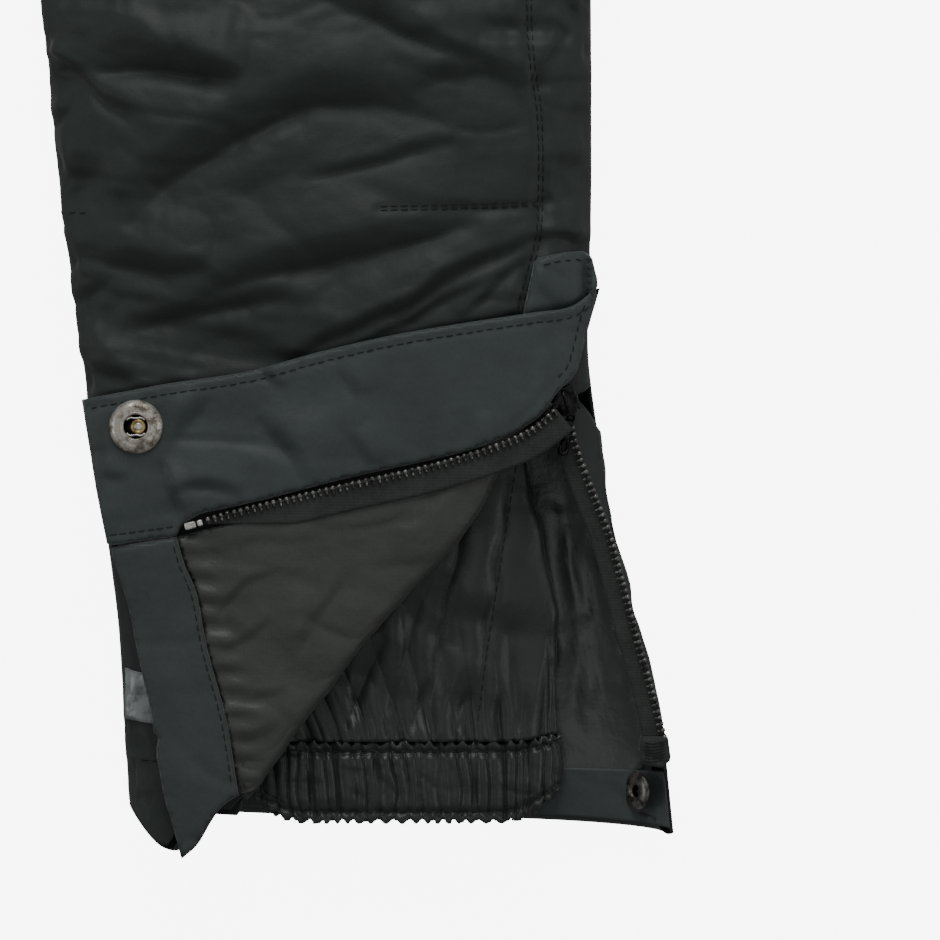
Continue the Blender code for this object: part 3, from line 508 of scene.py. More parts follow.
def path_distance(x, y, path):
    """Distance to a path, above 0 on its left, and how far along it the nearest point is, 0 to 1."""
    best = np.full(x.shape, 1e9)
    signed = np.zeros(x.shape)
    share = np.zeros(x.shape)
    steps = np.diff(path, axis=0)
    lengths = np.maximum(np.linalg.norm(steps, axis=1), 1e-9)
    starts = np.concatenate(((0.0,), np.cumsum(lengths)))
    for (ax, ay), (dx, dy), length, start in zip(path, steps, lengths, starts):
        along = np.clip(((x - ax) * dx + (y - ay) * dy) / length ** 2, 0, 1)
        off_x = x - ax - along * dx
        off_y = y - ay - along * dy
        distance = np.hypot(off_x, off_y)
        near = distance < best
        best = np.where(near, distance, best)
        signed = np.where(near, np.sign(dx * off_y - dy * off_x) * distance, signed)
        share = np.where(near, (start + along * length) / starts[-1], share)
    return signed, share


def fold_height(x, y, folds, puff=0.6):
    """Height of the cloth where these folds are pressed into it. On a fold's left side the cloth rises
    to a crest and falls away slowly; the fold itself is a narrow groove. A wedge's crest comes closer from
    one end of its path to the other."""
    bent_x = x + 0.0009 * lattice_noise(x, y, 0.009, 401)
    bent_y = y + 0.0009 * lattice_noise(x, y, 0.009, 402)
    height = np.zeros(x.shape)
    for path, depth, above, below, *wedge in folds:
        line = smooth_path(path, 0.004)
        distance, share = path_distance(bent_x, bent_y, line)
        taper = np.clip(np.sin(pi * np.clip(share, 0, 1)), 0, 1) ** 0.7
        far = np.abs(distance)
        if wedge:
            above = above * (wedge[0] + (wedge[1] - wedge[0]) * share)
            taper = np.clip(np.sin(pi * share ** (0.5 if wedge[0] < wedge[1] else 1.8)), 0, 1) ** 0.6
        climb, fall = far / above, 1 - (far - above) / (3.0 * above)
        tent = -np.log(np.exp(-8 * climb) + np.exp(-8 * np.maximum(fall, 0))) / 8
        tent = np.where(distance > 0, np.clip(tent, 0, 1), 0)
        groove = np.exp(-(far / (1.3 * below)) ** 1.3)
        height += depth * taper * (puff * tent - (1 - puff) * groove)
    return height


def lattice_noise(x, y, size, seed):
    """Smooth noise from about -1 to 1 whose lumps are about this size."""
    rng = np.random.default_rng(seed)
    cells = rng.uniform(-1, 1, (257, 257))
    u, v = x / size + 128.37, y / size + 128.71
    i, j = np.floor(u).astype(int) % 256, np.floor(v).astype(int) % 256
    a, b = u - np.floor(u), v - np.floor(v)
    a, b = a * a * (3 - 2 * a), b * b * (3 - 2 * b)
    low = cells[i, j] * (1 - a) + cells[i + 1, j] * a
    high = cells[i, j + 1] * (1 - a) + cells[i + 1, j + 1] * a
    return low * (1 - b) + high * b


def crinkle_height(x, y, seed, size=0.016, depth=0.0007):
    """Small irregular crinkles: soft lumps, and sharper creases where the noise crosses zero."""
    bend = 0.5 * size * lattice_noise(x, y, size * 2.3, seed + 50)
    u, v = x + bend, y - bend
    lumps = lattice_noise(u * 0.8, v * 1.5, size, seed)
    fine = lattice_noise(u + v * 0.5, v - u * 0.3, size * 0.45, seed + 1)
    creases = np.abs(lattice_noise(u * 0.6 + v * 0.4, v * 1.3, size * 1.1, seed + 2))
    return depth * (lumps + 0.35 * fine + 0.9 * np.minimum(creases * 3, 1.0) - 0.6)


def random_folds(seed, count, x_range, y_range, depth=0.0026, slant=0.35, length=(0.035, 0.090)):
    """Folds like those of cloth that was pushed together lengthwise: mostly across, a little slanted."""
    rng = np.random.default_rng(seed)
    made = []
    for _ in range(count):
        x, y = rng.uniform(*x_range), rng.uniform(*y_range)
        half = rng.uniform(*length) / 2
        turn = rng.choice((-1, 1)) * rng.uniform(0.05, slant * 2)
        bow = rng.uniform(-0.2, 0.2) * half
        along = np.array((cos(turn), sin(turn)))
        across = np.array((-sin(turn), cos(turn)))
        middle = np.array((x, y))
        path = [middle - along * half, middle - along * half * 0.4 + across * bow,
                middle + along * half * 0.4 + across * bow, middle + along * half]
        deep = depth * rng.uniform(0.5, 1.3)
        made.append(([tuple(p) for p in path], deep, rng.uniform(0.003, 0.010), rng.uniform(0.002, 0.004)))
    return made


def even_turns(half_width, half_height, powers, whole=pi):
    """Tables from a share of a section's length to its turn t, with its front and back powers."""
    t = np.linspace(0, whole, 4001)
    power = np.where(np.sin(t) >= 0, powers[0], powers[1])
    x = -np.sign(np.cos(t)) * np.abs(np.cos(t)) ** power * half_width
    z = np.sign(np.sin(t)) * np.abs(np.sin(t)) ** power * half_height
    gone = np.concatenate(((0.0,), np.cumsum(np.hypot(np.diff(x), np.diff(z)))))
    return gone / gone[-1], t


FRONT_TURNS = even_turns(0.080, 0.015, (2 / FRONT_SQUARENESS, 2 / FRONT_SQUARENESS))
BACK_TURNS = even_turns(0.080, 0.015, (2 / BACK_SQUARENESS, 2 / BACK_SQUARENESS))
RING_TURNS = even_turns(0.052, 0.008, (2 / FRONT_SQUARENESS, 2 / BACK_SQUARENESS), 2 * pi)


def spread(face, low, high, count):
    """Turns from low to high, evenly spaced along the cloth."""
    shares, turns = FRONT_TURNS if face > 0 else BACK_TURNS
    ends = np.interp((low, high), turns, shares)
    return np.interp(np.linspace(ends[0], ends[1], count), shares, turns)


def closure(y):
    """1 where a leg is a tube of its own, 0 where its inner edge is the centre seam."""
    t = np.clip((y - CROTCH_Y) / CROTCH_BLEND, 0.0, 1.0)
    return 1.0 - t * t * (3.0 - 2.0 * t)


def section(side, face, t, y, inset):
    """Points on a layer of the pants. t runs from the inner edge, 0, to the outer edge, pi."""
    power = 2.0 / (FRONT_SQUARENESS if face > 0 else BACK_SQUARENESS)
    inner = at(INNER, y) + inset
    outer = at(OUTER, y) - inset
    half = at(THICKNESS, y) / 2
    u = -np.sign(np.cos(t)) * np.abs(np.cos(t)) ** power
    rise = np.abs(np.sin(t)) ** power
    closed = closure(y)
    rise = np.where(t < pi / 2, 1.0 - closed + closed * rise, rise)
    x = (inner + outer) / 2 + u * (outer - inner) / 2
    z = half + face * (SEAM_GAP / 2 + (half - inset - SEAM_GAP / 2) * rise)
    return np.stack((side * x, y, z), axis=-1)


def crown_z(x, y):
    """Height of the front's outer face above (x, y), before any fold."""
    inner, outer, half = at(INNER, y), at(OUTER, y), at(THICKNESS, y) / 2
    u = (np.abs(x) - (inner + outer) / 2) / ((outer - inner) / 2)
    fall = np.clip(1.0 - np.minimum(np.abs(u), 1.0) ** FRONT_SQUARENESS, 0, 1) ** (1 / FRONT_SQUARENESS)
    fall = np.where(u < 0, 1.0 - closure(y) * (1.0 - fall), fall)
    return half * (1.0 + fall)


def plate_z(y):
    """Height of the folded corner's plane."""
    return at(THICKNESS, ZIP_TOP[1]) + PLATE_RISE + PLATE_SLOPE * (y - ZIP_TOP[1])


def grid_normals(points):
    """Unit normals of a grid of points, towards the cross product of its columns and its rows."""
    down = np.gradient(points, axis=0)
    across = np.gradient(points, axis=1)
    normals = np.cross(across, down)
    return normals / np.maximum(np.linalg.norm(normals, axis=-1, keepdims=True), 1e-12)


# ---------------------------------------------------------------- making pieces


def new_mesh(name, vertices, faces, material):
    """Object with this mesh, smooth shaded, and this material, at the origin."""
    data = bpy.data.meshes.new(name)
    data.from_pydata(np.asarray(vertices, float).reshape(-1, 3).tolist(), [], faces)
    data.update()
    data.shade_smooth()
    data.materials.append(material)
    obj = bpy.data.objects.new(name, data)
    bpy.context.scene.collection.objects.link(obj)
    return obj


def grid_faces(rows, columns, flip=False, closed=False):
    """Quads of a grid, whose columns may close into a ring."""
    faces = []
    for r in range(rows - 1):
        for c in range(columns if closed else columns - 1):
            after = (c + 1) % columns
            quad = (r * columns + c, r * columns + after, (r + 1) * columns + after, (r + 1) * columns + c)
            faces.append(quad[::-1] if flip else quad)
    return faces


def grid_piece(name, points, material, thickness, flip=False, closed=False):
    """Sheet through a grid of points, made thick towards its back."""
    rows, columns = points.shape[:2]
    obj = new_mesh(name, points, grid_faces(rows, columns, flip, closed), material)
    thick = obj.modifiers.new("thickness", "SOLIDIFY")
    thick.thickness = thickness
    thick.offset = -1.0
    return obj


def place(obj, body, slot, *nodes):
    """Lets a piece ride on a body and stand for CAD nodes. The slot, a material slot of the record, is not
    used.
    """
    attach(obj, body)
    if nodes:
        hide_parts(*nodes)
    return obj


def tree_of(obj):
    """Search tree of a piece's own mesh, for laying things on it."""
    data = obj.data
    return BVHTree.FromPolygons([v.co for v in data.vertices], [p.vertices for p in data.polygons])


def drop(tree, x, y, face=1):
    """Point and normal of a surface above or below (x, y). Off its edge, the nearest point."""
    hit = tree.ray_cast(Vector((x, y, 0.2 * face)), Vector((0, 0, -face)))
    if hit[0] is None:
        hit = tree.find_nearest(Vector((x, y, 0.015 + 0.015 * face)))
    point, normal = hit[0], hit[1]
    if normal.z * face < 0:
        normal = -normal
    return point, normal


def axes_matrix(origin, *axes):
    """Frame with this origin and these X, Y and Z axes."""
    return Matrix.Translation(origin) @ Matrix(axes).transposed().to_4x4()


def towards(vector, direction):
    """The vector or its opposite, whichever points more that way."""
    return vector if vector.dot(Vector(direction)) >= 0 else -vector


def joint_line(name):
    """A packed joint's pivot, which a slide doesn't have, and its axis."""
    joint = JOINTS[name]
    pivot = Vector(joint["pos_m"]) if joint.get("pos_m") else None
    return pivot, Vector(joint["axis"]).normalized()


def seen_from_above(matrix, path):
    """Where points of a frame's own plane lie, in x and y."""
    world = [matrix @ Vector((u, v, 0)) for u, v in path]
    return [(p.x, p.y) for p in world]


def matrix_of(origin, direction, up):
    """Frame whose Y is the direction and whose Z is close to up."""
    y_axis = Vector(direction).normalized()
    x_axis = y_axis.cross(Vector(up)).normalized()
    return axes_matrix(origin, x_axis, y_axis, x_axis.cross(y_axis))


def stamp(name, template, places, material):
    """One mesh with a copy of a template, as (vertices, faces), at each place."""
    vertices, faces = template
    corners = np.concatenate((np.array(vertices, float), np.ones((len(vertices), 1))), axis=1)
    matrices = np.array([list(map(list, m)) for m in places], float)
    points = np.einsum("nij,vj->nvi", matrices, corners)[..., :3].reshape(-1, 3)
    copies = [tuple(i + k * len(vertices) for i in face) for k in range(len(places)) for face in faces]
    return new_mesh(name, points, copies, material)


def fitting(name, body, material, template, spots, *nodes):
    """A metal or plastic piece, or thread, on a body: a template stamped at these places."""
    return place(stamp(name, template, spots, material), body, FITTING_SLOTS[material.name], *nodes)


def rod(length, radius, sides=6):
    """A short thread or pin along Y with rounded ends that dip."""
    stations = ((-0.5, 0.25, -1.0), (-0.42, 0.8, -0.3), (-0.15, 1.0, 0.2), (0.15, 1.0, 0.2),
                (0.42, 0.8, -0.3), (0.5, 0.25, -1.0))
    vertices = []
    for share, wide, lift in stations:
        for k in range(sides):
            a = 2 * pi * k / sides
            vertices.append((radius * wide * cos(a), share * length, radius * (wide * sin(a) + lift)))
    faces = []
    for r in range(len(stations) - 1):
        for k in range(sides):
            after = (k + 1) % sides
            faces.append((r * sides + k, (r + 1) * sides + k, (r + 1) * sides + after, r * sides + after))
    faces.append(tuple(range(sides)))
    faces.append(tuple(reversed(range((len(stations) - 1) * sides, len(stations) * sides))))
    return vertices, faces


def bevelled(mesh, bevel, segments):
    """Vertices and faces of a bmesh once its edges are rounded. Frees the bmesh."""
    bmesh.ops.bevel(mesh, geom=list(mesh.edges), offset=bevel, segments=segments, affect="EDGES", profile=0.5)
    mesh.verts.index_update()
    vertices = [tuple(v.co) for v in mesh.verts]
    faces = [tuple(v.index for v in f.verts) for f in mesh.faces]
    mesh.free()
    return vertices, faces


def rounded_box(size, bevel, segments=2, taper=1.0):
    """Box with rounded edges, narrower at its top where taper is under 1."""
    mesh = bmesh.new()
    bmesh.ops.create_cube(mesh, size=1.0)
    for vertex in mesh.verts:
        x, y, z = vertex.co
        wide = taper if z > 0 else 1.0
        vertex.co = Vector((x * size[0] * wide, y * size[1] * wide, z * size[2]))
    return bevelled(mesh, bevel, segments)


def revolved(profile, steps=64):
    """Turned shape from an (r, z) profile that runs from its top down its outer side."""
    vertices, faces, rings = [], [], []
    for r, z in profile:
        if r < 1e-7:
            rings.append([len(vertices)])
            vertices.append((0.0, 0.0, z))
        else:
            rings.append(list(range(len(vertices), len(vertices) + steps)))
            turns = 2 * pi * np.arange(steps) / steps
            vertices.extend((r * cos(a), r * sin(a), z) for a in turns)
    for high, low in zip(rings, rings[1:]):
        for k in range(steps):
            after = (k + 1) % steps
            corners = [low[k % len(low)], low[after % len(low)], high[after % len(high)], high[k % len(high)]]
            unique = list(dict.fromkeys(corners))
            if len(unique) > 2:
                faces.append(tuple(unique))
    return vertices, faces


def merged(*templates):
    """Several (vertices, faces) templates as one."""
    vertices, faces = [], []
    for part_vertices, part_faces in templates:
        faces.extend(tuple(i + len(vertices) for i in face) for face in part_faces)
        vertices.extend(part_vertices)
    return vertices, faces


def moved(template, matrix):
    """A template at another place."""
    vertices, faces = template
    return [tuple(matrix @ Vector(v)) for v in vertices], faces


def tube(points, radius, sides=8):
    """Round wire through these points, with flat ends."""
    points = [Vector(p) for p in points]
    vertices, faces = [], []
    count = len(points)
    for k, point in enumerate(points):
        before, after = points[max(k - 1, 0)], points[min(k + 1, count - 1)]
        direction = (after - before).normalized()
        side = direction.cross(Vector((0.02, 0.03, 1))).normalized()
        up = side.cross(direction)
        for j in range(sides):
            a = 2 * pi * j / sides
            vertices.append(tuple(point + (side * cos(a) + up * sin(a)) * radius))
    for k in range(count - 1):
        for j in range(sides):
            step = (j + 1) % sides
            low, high = k * sides, (k + 1) * sides
            faces.append((low + j, low + step, high + step, high + j))
    faces.append(tuple(reversed(range(sides))))
    faces.append(tuple(range((count - 1) * sides, count * sides)))
    return vertices, faces


def inside(points, outline):
    """Which points lie inside a closed outline."""
    x, y = points[:, 0][:, None], points[:, 1][:, None]
    a, b = outline, np.roll(outline, -1, axis=0)
    crosses = (a[:, 1] > y) != (b[:, 1] > y)
    slope = (b[:, 0] - a[:, 0]) / np.where(b[:, 1] == a[:, 1], 1e-12, b[:, 1] - a[:, 1])
    return (crosses & (x < a[:, 0] + (y - a[:, 1]) * slope)).sum(axis=1) % 2 == 1


def patch_mesh(outline, step, holes=()):
    """Vertices, triangles and border loops of a flat region, with vertices about step apart."""
    loops = []
    for loop in (outline, *holes):
        closed = np.concatenate((np.array(loop, float), np.array(loop[:1], float)))
        gone = np.linalg.norm(np.diff(closed, axis=0), axis=1)
        closed = closed[np.concatenate(((True,), gone > 1e-6))]
        parts = [np.linspace(a, b, max(int(np.linalg.norm(b - a) / step), 1), endpoint=False)
                 for a, b in zip(closed, closed[1:])]
        loops.append(np.concatenate(parts))
    low, high = loops[0].min(axis=0), loops[0].max(axis=0)
    xs = np.arange(low[0], high[0], step)
    ys = np.arange(low[1], high[1], step * 0.866)
    gx, gy = np.meshgrid(xs, ys)
    gx[1::2] += step / 2
    inner = np.stack((gx.ravel(), gy.ravel()), axis=1)
    inner = inner[inside(inner, loops[0])]
    for hole in loops[1:]:
        inner = inner[~inside(inner, hole)]
    border = np.concatenate(loops)
    for start in range(0, len(border), 400):
        run = border[start:start + 400]
        gap = np.linalg.norm(inner[:, None, :] - run[None], axis=2).min(axis=1)
        inner = inner[gap > 0.6 * step]
    points = np.concatenate((border, inner))
    edges, first = [], 0
    for loop in loops:
        edges.extend((first + k, first + (k + 1) % len(loop)) for k in range(len(loop)))
        first += len(loop)
    made = delaunay_2d_cdt([Vector(p) for p in points], edges, [], 0, 1e-9)
    vertices = np.array([tuple(v) for v in made[0]])
    triangles = np.array(made[2])
    middles = vertices[triangles].mean(axis=1)
    keep = inside(middles, loops[0])
    for hole in loops[1:]:
        keep &= ~inside(middles, hole)
    return vertices, triangles[keep], loops


def fold_scaled(folds, factor):
    """The same folds, deeper or flatter."""
    return [(path, depth * factor, *rest) for path, depth, *rest in folds]


def soft_patch(name, outline, height, thick, material, step, round_edge, holes=(), matrix=None):
    """Closed cushion-like sheet with this outline. Its bottom is height, and its top is height plus its
    thickness, which falls to nothing at its edge."""
    flat, triangles, loops = patch_mesh(outline, step, holes)
    x, y = flat[:, 0], flat[:, 1]
    edge = np.full(len(flat), 1e9)
    for loop in loops:
        closed = np.concatenate((loop, loop[:1]))
        edge = np.minimum(edge, np.abs(path_distance(x, y, closed)[0]))
    swell = np.sqrt(np.clip(1 - (1 - np.clip(edge / round_edge, 0, 1)) ** 2, 0, 1))
    base = height(x, y) if callable(height) else np.full(len(flat), float(height))
    border = edge < 1e-7
    top = np.stack((x, y, base + thick * (0.5 + 0.5 * swell)), axis=1)
    low = np.stack((x, y, base + thick * 0.5 * (1 - swell)), axis=1)
    low[border] = top[border]
    index = np.where(border, np.arange(len(flat)), len(flat) + np.cumsum(~border) - 1)
    vertices = np.concatenate((top, low[~border]))
    if matrix is not None:
        vertices = vertices @ np.array(matrix.to_3x3()).T + np.array(matrix.translation)
    faces = [tuple(t) for t in triangles.tolist()]
    faces += [tuple(t) for t in index[triangles][:, ::-1].tolist()]
    return new_mesh(name, vertices, faces, material)


def offset_path(path, amount):
    """A path moved to its left by this much, in x and y."""
    steps = np.gradient(path[:, :2], axis=0)
    steps /= np.maximum(np.linalg.norm(steps, axis=1, keepdims=True), 1e-12)
    moved_path = path.copy()
    moved_path[:, 0] -= steps[:, 1] * amount
    moved_path[:, 1] += steps[:, 0] * amount
    return moved_path


def stitch_places(tree, path, face=1, lift=0.00012, pitch=STITCH_PITCH):
    """Places of the stitches of a seam that runs along a path of (x, y) points on a surface."""
    line = evenly(path, pitch)
    found = []
    for a, b in zip(line, line[1:]):
        point, normal = drop(tree, *((a + b) / 2), face)
        direction = Vector((b[0] - a[0], b[1] - a[1], 0))
        direction -= normal * direction.dot(normal)
        if direction.length > 1e-6:
            found.append(matrix_of(point + normal * lift, direction, normal))
    return found


def stitching(name, body, places):
    """All the stitches of one group of seams, as one piece."""
    return fitting(name, body, THREAD, rod(STITCH_LONG, STITCH_RADIUS), places)


CLOTH_FRAMES = 24


def buckle(points, grow, cap):
    """Height of cloth that is a little too big for its edges, from a cloth simulation on a grid."""
    rows, columns = points.shape[:2]
    obj = new_mesh("cloth_at_work", points, grid_faces(rows, columns), THREAD)
    held = obj.vertex_groups.new(name="held")
    index = np.arange(rows * columns).reshape(rows, columns)
    inner = index[1:-1, 1:-1].ravel().tolist()
    held.add(sorted(set(index.ravel().tolist()) - set(inner)), 1.0, "REPLACE")
    simulation = obj.modifiers.new("cloth", "CLOTH")
    settings = simulation.settings
    settings.quality = 6
    settings.mass = 0.12
    settings.tension_stiffness = 15
    settings.compression_stiffness = 15
    settings.shear_stiffness = 5
    settings.bending_stiffness = 0.35
    settings.shrink_min = -grow
    settings.vertex_group_mass = "held"
    settings.effector_weights.gravity = 0
    simulation.collision_settings.use_collision = False
    simulation.point_cache.frame_end = CLOTH_FRAMES
    for number in range(1, CLOTH_FRAMES + 1):
        bpy.context.scene.frame_set(number)
    seen = obj.evaluated_get(bpy.context.evaluated_depsgraph_get())
    moved_points = np.zeros(rows * columns * 3)
    seen.data.vertices.foreach_get("co", moved_points)
    offset = moved_points.reshape(rows, columns, 3) - points
    height = (offset * grid_normals(points)).sum(axis=-1)
    bpy.data.objects.remove(obj)
    bpy.context.scene.frame_set(1)
    return cap * np.tanh(height / cap)


def resampled(field, rows, columns):
    """A coarse grid of numbers, read at the shares of its rows and columns."""
    r = rows * (field.shape[0] - 1)
    c = columns * (field.shape[1] - 1)
    i = np.clip(np.floor(r).astype(int), 0, field.shape[0] - 2)
    j = np.clip(np.floor(c).astype(int), 0, field.shape[1] - 2)
    a, b = (r - i)[:, None], (c - j)[None, :]
    a, b = a * a * (3 - 2 * a), b * b * (3 - 2 * b)
    low = field[i][:, j] * (1 - b) + field[i][:, j + 1] * b
    high = field[i + 1][:, j] * (1 - b) + field[i + 1][:, j + 1] * b
    return low * (1 - a) + high * a


# ---------------------------------------------------------------- shell, padding and lining

# Where the left front's cloth ends: along the fold of the corner, and past it at both ends.
LEFT_CUT = smooth_table(sorted((y, x) for x, y in (
    *CREASE[1:-1], (0.2052, -0.2610), (0.2046, -0.2500), (0.0975, -0.3860), (0.0960, -0.3990))), 0.002)
OPENING_TOP_Y = -0.2600


def opened_t(y):
    """Where the left front ends across the leg: the outer seam, or the fold below the zip's top."""
    inner, outer = at(INNER, y), at(OUTER, y)
    edge = np.minimum(at(LEFT_CUT, y) - ROLL_BULGE * 0.8, outer)
    u = np.clip((edge - (inner + outer) / 2) / ((outer - inner) / 2), -1, 1)
    t = np.arccos(np.clip(-np.sign(u) * np.abs(u) ** (FRONT_SQUARENESS / 2), -1, 1))
    return np.where(y > OPENING_TOP_Y, pi, t)


def hem_dip(share):
    """How far the left front's hem hangs down beside the folded corner."""
    sinking = np.sin(0.5 * pi * np.clip(share / 0.10, 0, 1)) ** 2
    rising = 1 - np.clip((share - 0.105) / 0.05, 0, 1)
    return 0.0120 * sinking * rising


def panel_grid(side, face, rows, columns, inset, hem_step):
    """Grid of points on one layer, with each point's t."""
    opened = side > 0 and face > 0
    s = columns[None, :]
    shares, turns = FRONT_TURNS if face > 0 else BACK_TURNS
    t = np.interp(s, shares, turns)
    hem = HEM_INNER_Y + (HEM_OUTER_Y - HEM_INNER_Y) * (s * 0.25 if opened else t / pi) + hem_step
    if opened:
        hem = hem - hem_dip(s * np.interp(opened_t(np.array(OPENED_HEM_Y)), turns, shares))
    y = hem + (PANEL_TOP_Y - hem) * rows[:, None]
    t = t * np.ones_like(y)
    if opened:
        t = np.interp(s * np.interp(opened_t(y), turns, shares), shares, turns)
    return section(side, face, t, y, inset), t


def under_corner(x, y):
    """1 where the folded corner and its flap cover the left front, 0 elsewhere."""
    top = np.interp(x, *zip(*FLAP_TOP))
    t = np.clip((top + 0.002 - y) / 0.006, 0, 1)
    cover = t * t * (3 - 2 * t)
    return cover * np.clip((x - 0.050 - np.clip(-0.300 - y, 0, 1) * 0.22) / 0.008, 0, 1)


def away_from_zips(side, x, y):
    """0 on the zips' lines and 1 away from them, so that the cloth stays flat beside a zip."""
    lines = [((0.0, 0.370), (0.0, 0.200)), ((side * 0.1000, 0.3300), (side * 0.1400, 0.2050))]
    if side < 0:
        lines.append(((-0.1600, -0.2650), (-0.1800, -0.3790)))
    free = np.ones(x.shape)
    for line in lines:
        free *= 1 - np.exp(-(path_distance(x, y, np.array(line))[0] / 0.013) ** 2)
    return free


def hem_bank(x):
    """Height of the left back's hem beside its outer seam, where it slopes up to the edge."""
    return 0.0062 + 0.0066 * np.clip((x - 0.2205) / 0.0075, 0, 1)


def front_height(side, x, y, loose):
    """How far the front's cloth stands out or in, on top of what the simulation gave."""
    if side > 0:
        folds = 1.2 * fold_height(x, y, LEFT_FOLDS) + fold_height(x, y, UPPER_LEFT_FOLDS)
        seed = 11
    else:
        folds = fold_height(x, y, RIGHT_FOLDS)
        seed = 23
    height = folds + loose + crinkle_height(x, y, seed)
    height += crinkle_height(x, y, seed + 7, 0.006, 0.00016)
    seam = np.abs(np.abs(x) - at(SIDE_SEAM, y))
    height -= 0.0007 * np.exp(-(seam / 0.0016) ** 2)
    height += 0.0004 * np.exp(-((seam - 0.0040) / 0.0020) ** 2)
    height -= 0.0006 * np.exp(-((y - DART_Y) / 0.0014) ** 2) * (np.abs(np.abs(x) - 0.165) < 0.025)
    if side > 0:
        cover = under_corner(x, y)
        height = height * (1 - cover) + np.minimum(height * 0.2, 0) * cover - 0.0012 * cover
    else:
        near = np.clip((0.250 + y) / -0.010, 0, 1) * np.clip((-x - 0.135) / 0.02, 0, 1)
        height = height * (1 - 0.6 * near)
    return height * away_from_zips(side, x, y)


def back_height(side, x, y, loose):
    """How far the back's cloth stands in from the floor that it lies on."""
    folds = fold_height(x, y, BACK_FOLDS_LEFT if side > 0 else BACK_FOLDS_RIGHT)
    height = folds + loose + crinkle_height(x, y, 37 + side)
    return -np.abs(height) * 0.6


SIDE_SEAM = smooth_table(((-0.400, 0.1900), (-0.2600, 0.1830), (-0.2380, 0.1820), (-0.2218, 0.1868),
                          (-0.2146, 0.1889), (-0.1930, 0.1892), (-0.1768, 0.1888), (-0.1615, 0.1861),
                          (-0.1435, 0.1855), (0.000, 0.1840), (0.200, 0.1760), (0.420, 0.1520)), 0.004)
DART_Y = -0.2068
BUCKLE_CAP = 0.0022
BANK_X = 0.2195
UPPER_LEFT_FOLDS = random_folds(5, 26, (0.055, 0.175), (-0.125, 0.300))
RIGHT_FOLDS = random_folds(8, 46, (-0.180, -0.050), (-0.345, 0.300), 0.0030)
BACK_FOLDS_LEFT = random_folds(14, 30, (0.040, 0.180), (-0.330, 0.320), 0.0018)
BACK_FOLDS_RIGHT = random_folds(15, 30, (-0.180, -0.040), (-0.330, 0.320), 0.0018)


def panel_shares(fine):
    """Shares of a panel's rows and columns. The left front has finer rows at its low end."""
    if not fine:
        return np.linspace(0, 1, 330), np.linspace(0, 1, 96)
    low_share = 0.33
    low_rows = np.linspace(0, low_share, 215, endpoint=False)
    return np.concatenate((low_rows, np.linspace(low_share, 1, 190))), np.linspace(0, 1, 150)


def loose_cloth(side, face, rows, columns):
    """How far a panel's cloth buckles, from a simulation on a coarse grid."""
    coarse, _ = panel_grid(side, face, np.linspace(0, 1, 150), np.linspace(0, 1, 36), 0.0, 0.0)
    outward = -1 if face * side < 0 else 1
    start = crinkle_height(coarse[..., 0], coarse[..., 1], 71 + side + 3 * face, 0.030, 0.0012)
    normals = grid_normals(coarse) * outward
    grown = 0.028 if face > 0 else 0.018
    loose = outward * buckle(coarse + normals * start[..., None], grown, BUCKLE_CAP)
    return resampled(loose + start * 0.5, rows, columns)


def layer_height(layer, side, face, x, y, t, loose):
    """How far one layer's points stand out from the panel's smooth shape."""
    fine = side > 0 and face > 0
    height = front_height(side, x, y, loose) if face > 0 else back_height(side, x, y, loose)
    if layer == "lining" and face < 0:
        extra = crinkle_height(x, y, 91, 0.026, 0.0013)
        if side > 0:
            extra = extra + 1.8 * fold_height(x, y, BACK_LINING_FOLDS)
        height = height * 0.5 - np.maximum(extra, -0.0004)
    if layer == "padding" and face < 0:
        height = height * 0.5
    if layer == "lining" and fine:
        height = height - 0.0022 * np.clip((-0.330 - y) / 0.020, 0, 1)
    edges = np.clip(np.sin(t) * (2.6 if fine else 2.2), 0, 1) ** 0.5
    top = np.clip((PANEL_TOP_Y - y) / 0.02, 0, 1)
    low = np.clip((y - HEM_OUTER_Y - 0.002) / 0.016, 0, 1)
    return height * edges * (0.25 + 0.75 * top) * (0.15 + 0.85 * low)


def panel_layers(word, side, where, face):
    """Shell, padding and lining of one panel, sharing the same folds. Returns the shell."""
    fine = side > 0 and face > 0
    left_back = side > 0 and face < 0
    flip = face * side < 0
    rows, columns = panel_shares(fine)
    loose = loose_cloth(side, face, rows, columns)
    lining_cloth = SATIN_CLOTH if face < 0 else LINING_CLOTH
    for layer, (inset, thickness), material, slot, step, follow in (
            ("shell", SHELL, SHELL_CLOTH, "shell_cloth", 0.0, 1.0),
            ("padding", PADDING, WADDING, "filling", 0.0, 1.0),
            ("lining", LINING, lining_cloth, "lining_cloth", HEM_STEP, 0.85)):
        # The padding starts from the shell's own grid, so that it stays under the shell.
        base, t = panel_grid(side, face, rows, columns, 0.0 if layer == "padding" else inset, step)
        x, y = base[..., 0], base[..., 1]
        height = layer_height(layer, side, face, x, y, t, loose) * follow
        if layer == "padding":
            height = height - inset
        normals = grid_normals(base) * (-1 if flip else 1)
        points = base + normals * height[..., None]
        points[..., 2] = np.maximum(points[..., 2], inset)
        if layer == "lining" and left_back:
            under = hem_bank(x) - 0.0008 + 0.02 * np.clip((y + 0.3735) / 0.002, 0, 1)
            points[..., 2] = np.where(x > BANK_X, np.minimum(points[..., 2], under), points[..., 2])
        if layer == "padding":
            first, last = 0.14 if fine else 0.05, 0.885 if left_back else 0.95
            points = points[4:, int(first * len(columns)):int(last * len(columns))]
        piece = grid_piece(f"{word}_{where}_{layer}_cloth", points, material, thickness, flip)
        place(piece, "pants", slot, f"{word}_{where}_{layer}")
        if layer == "shell":
            shell = piece
    return shell


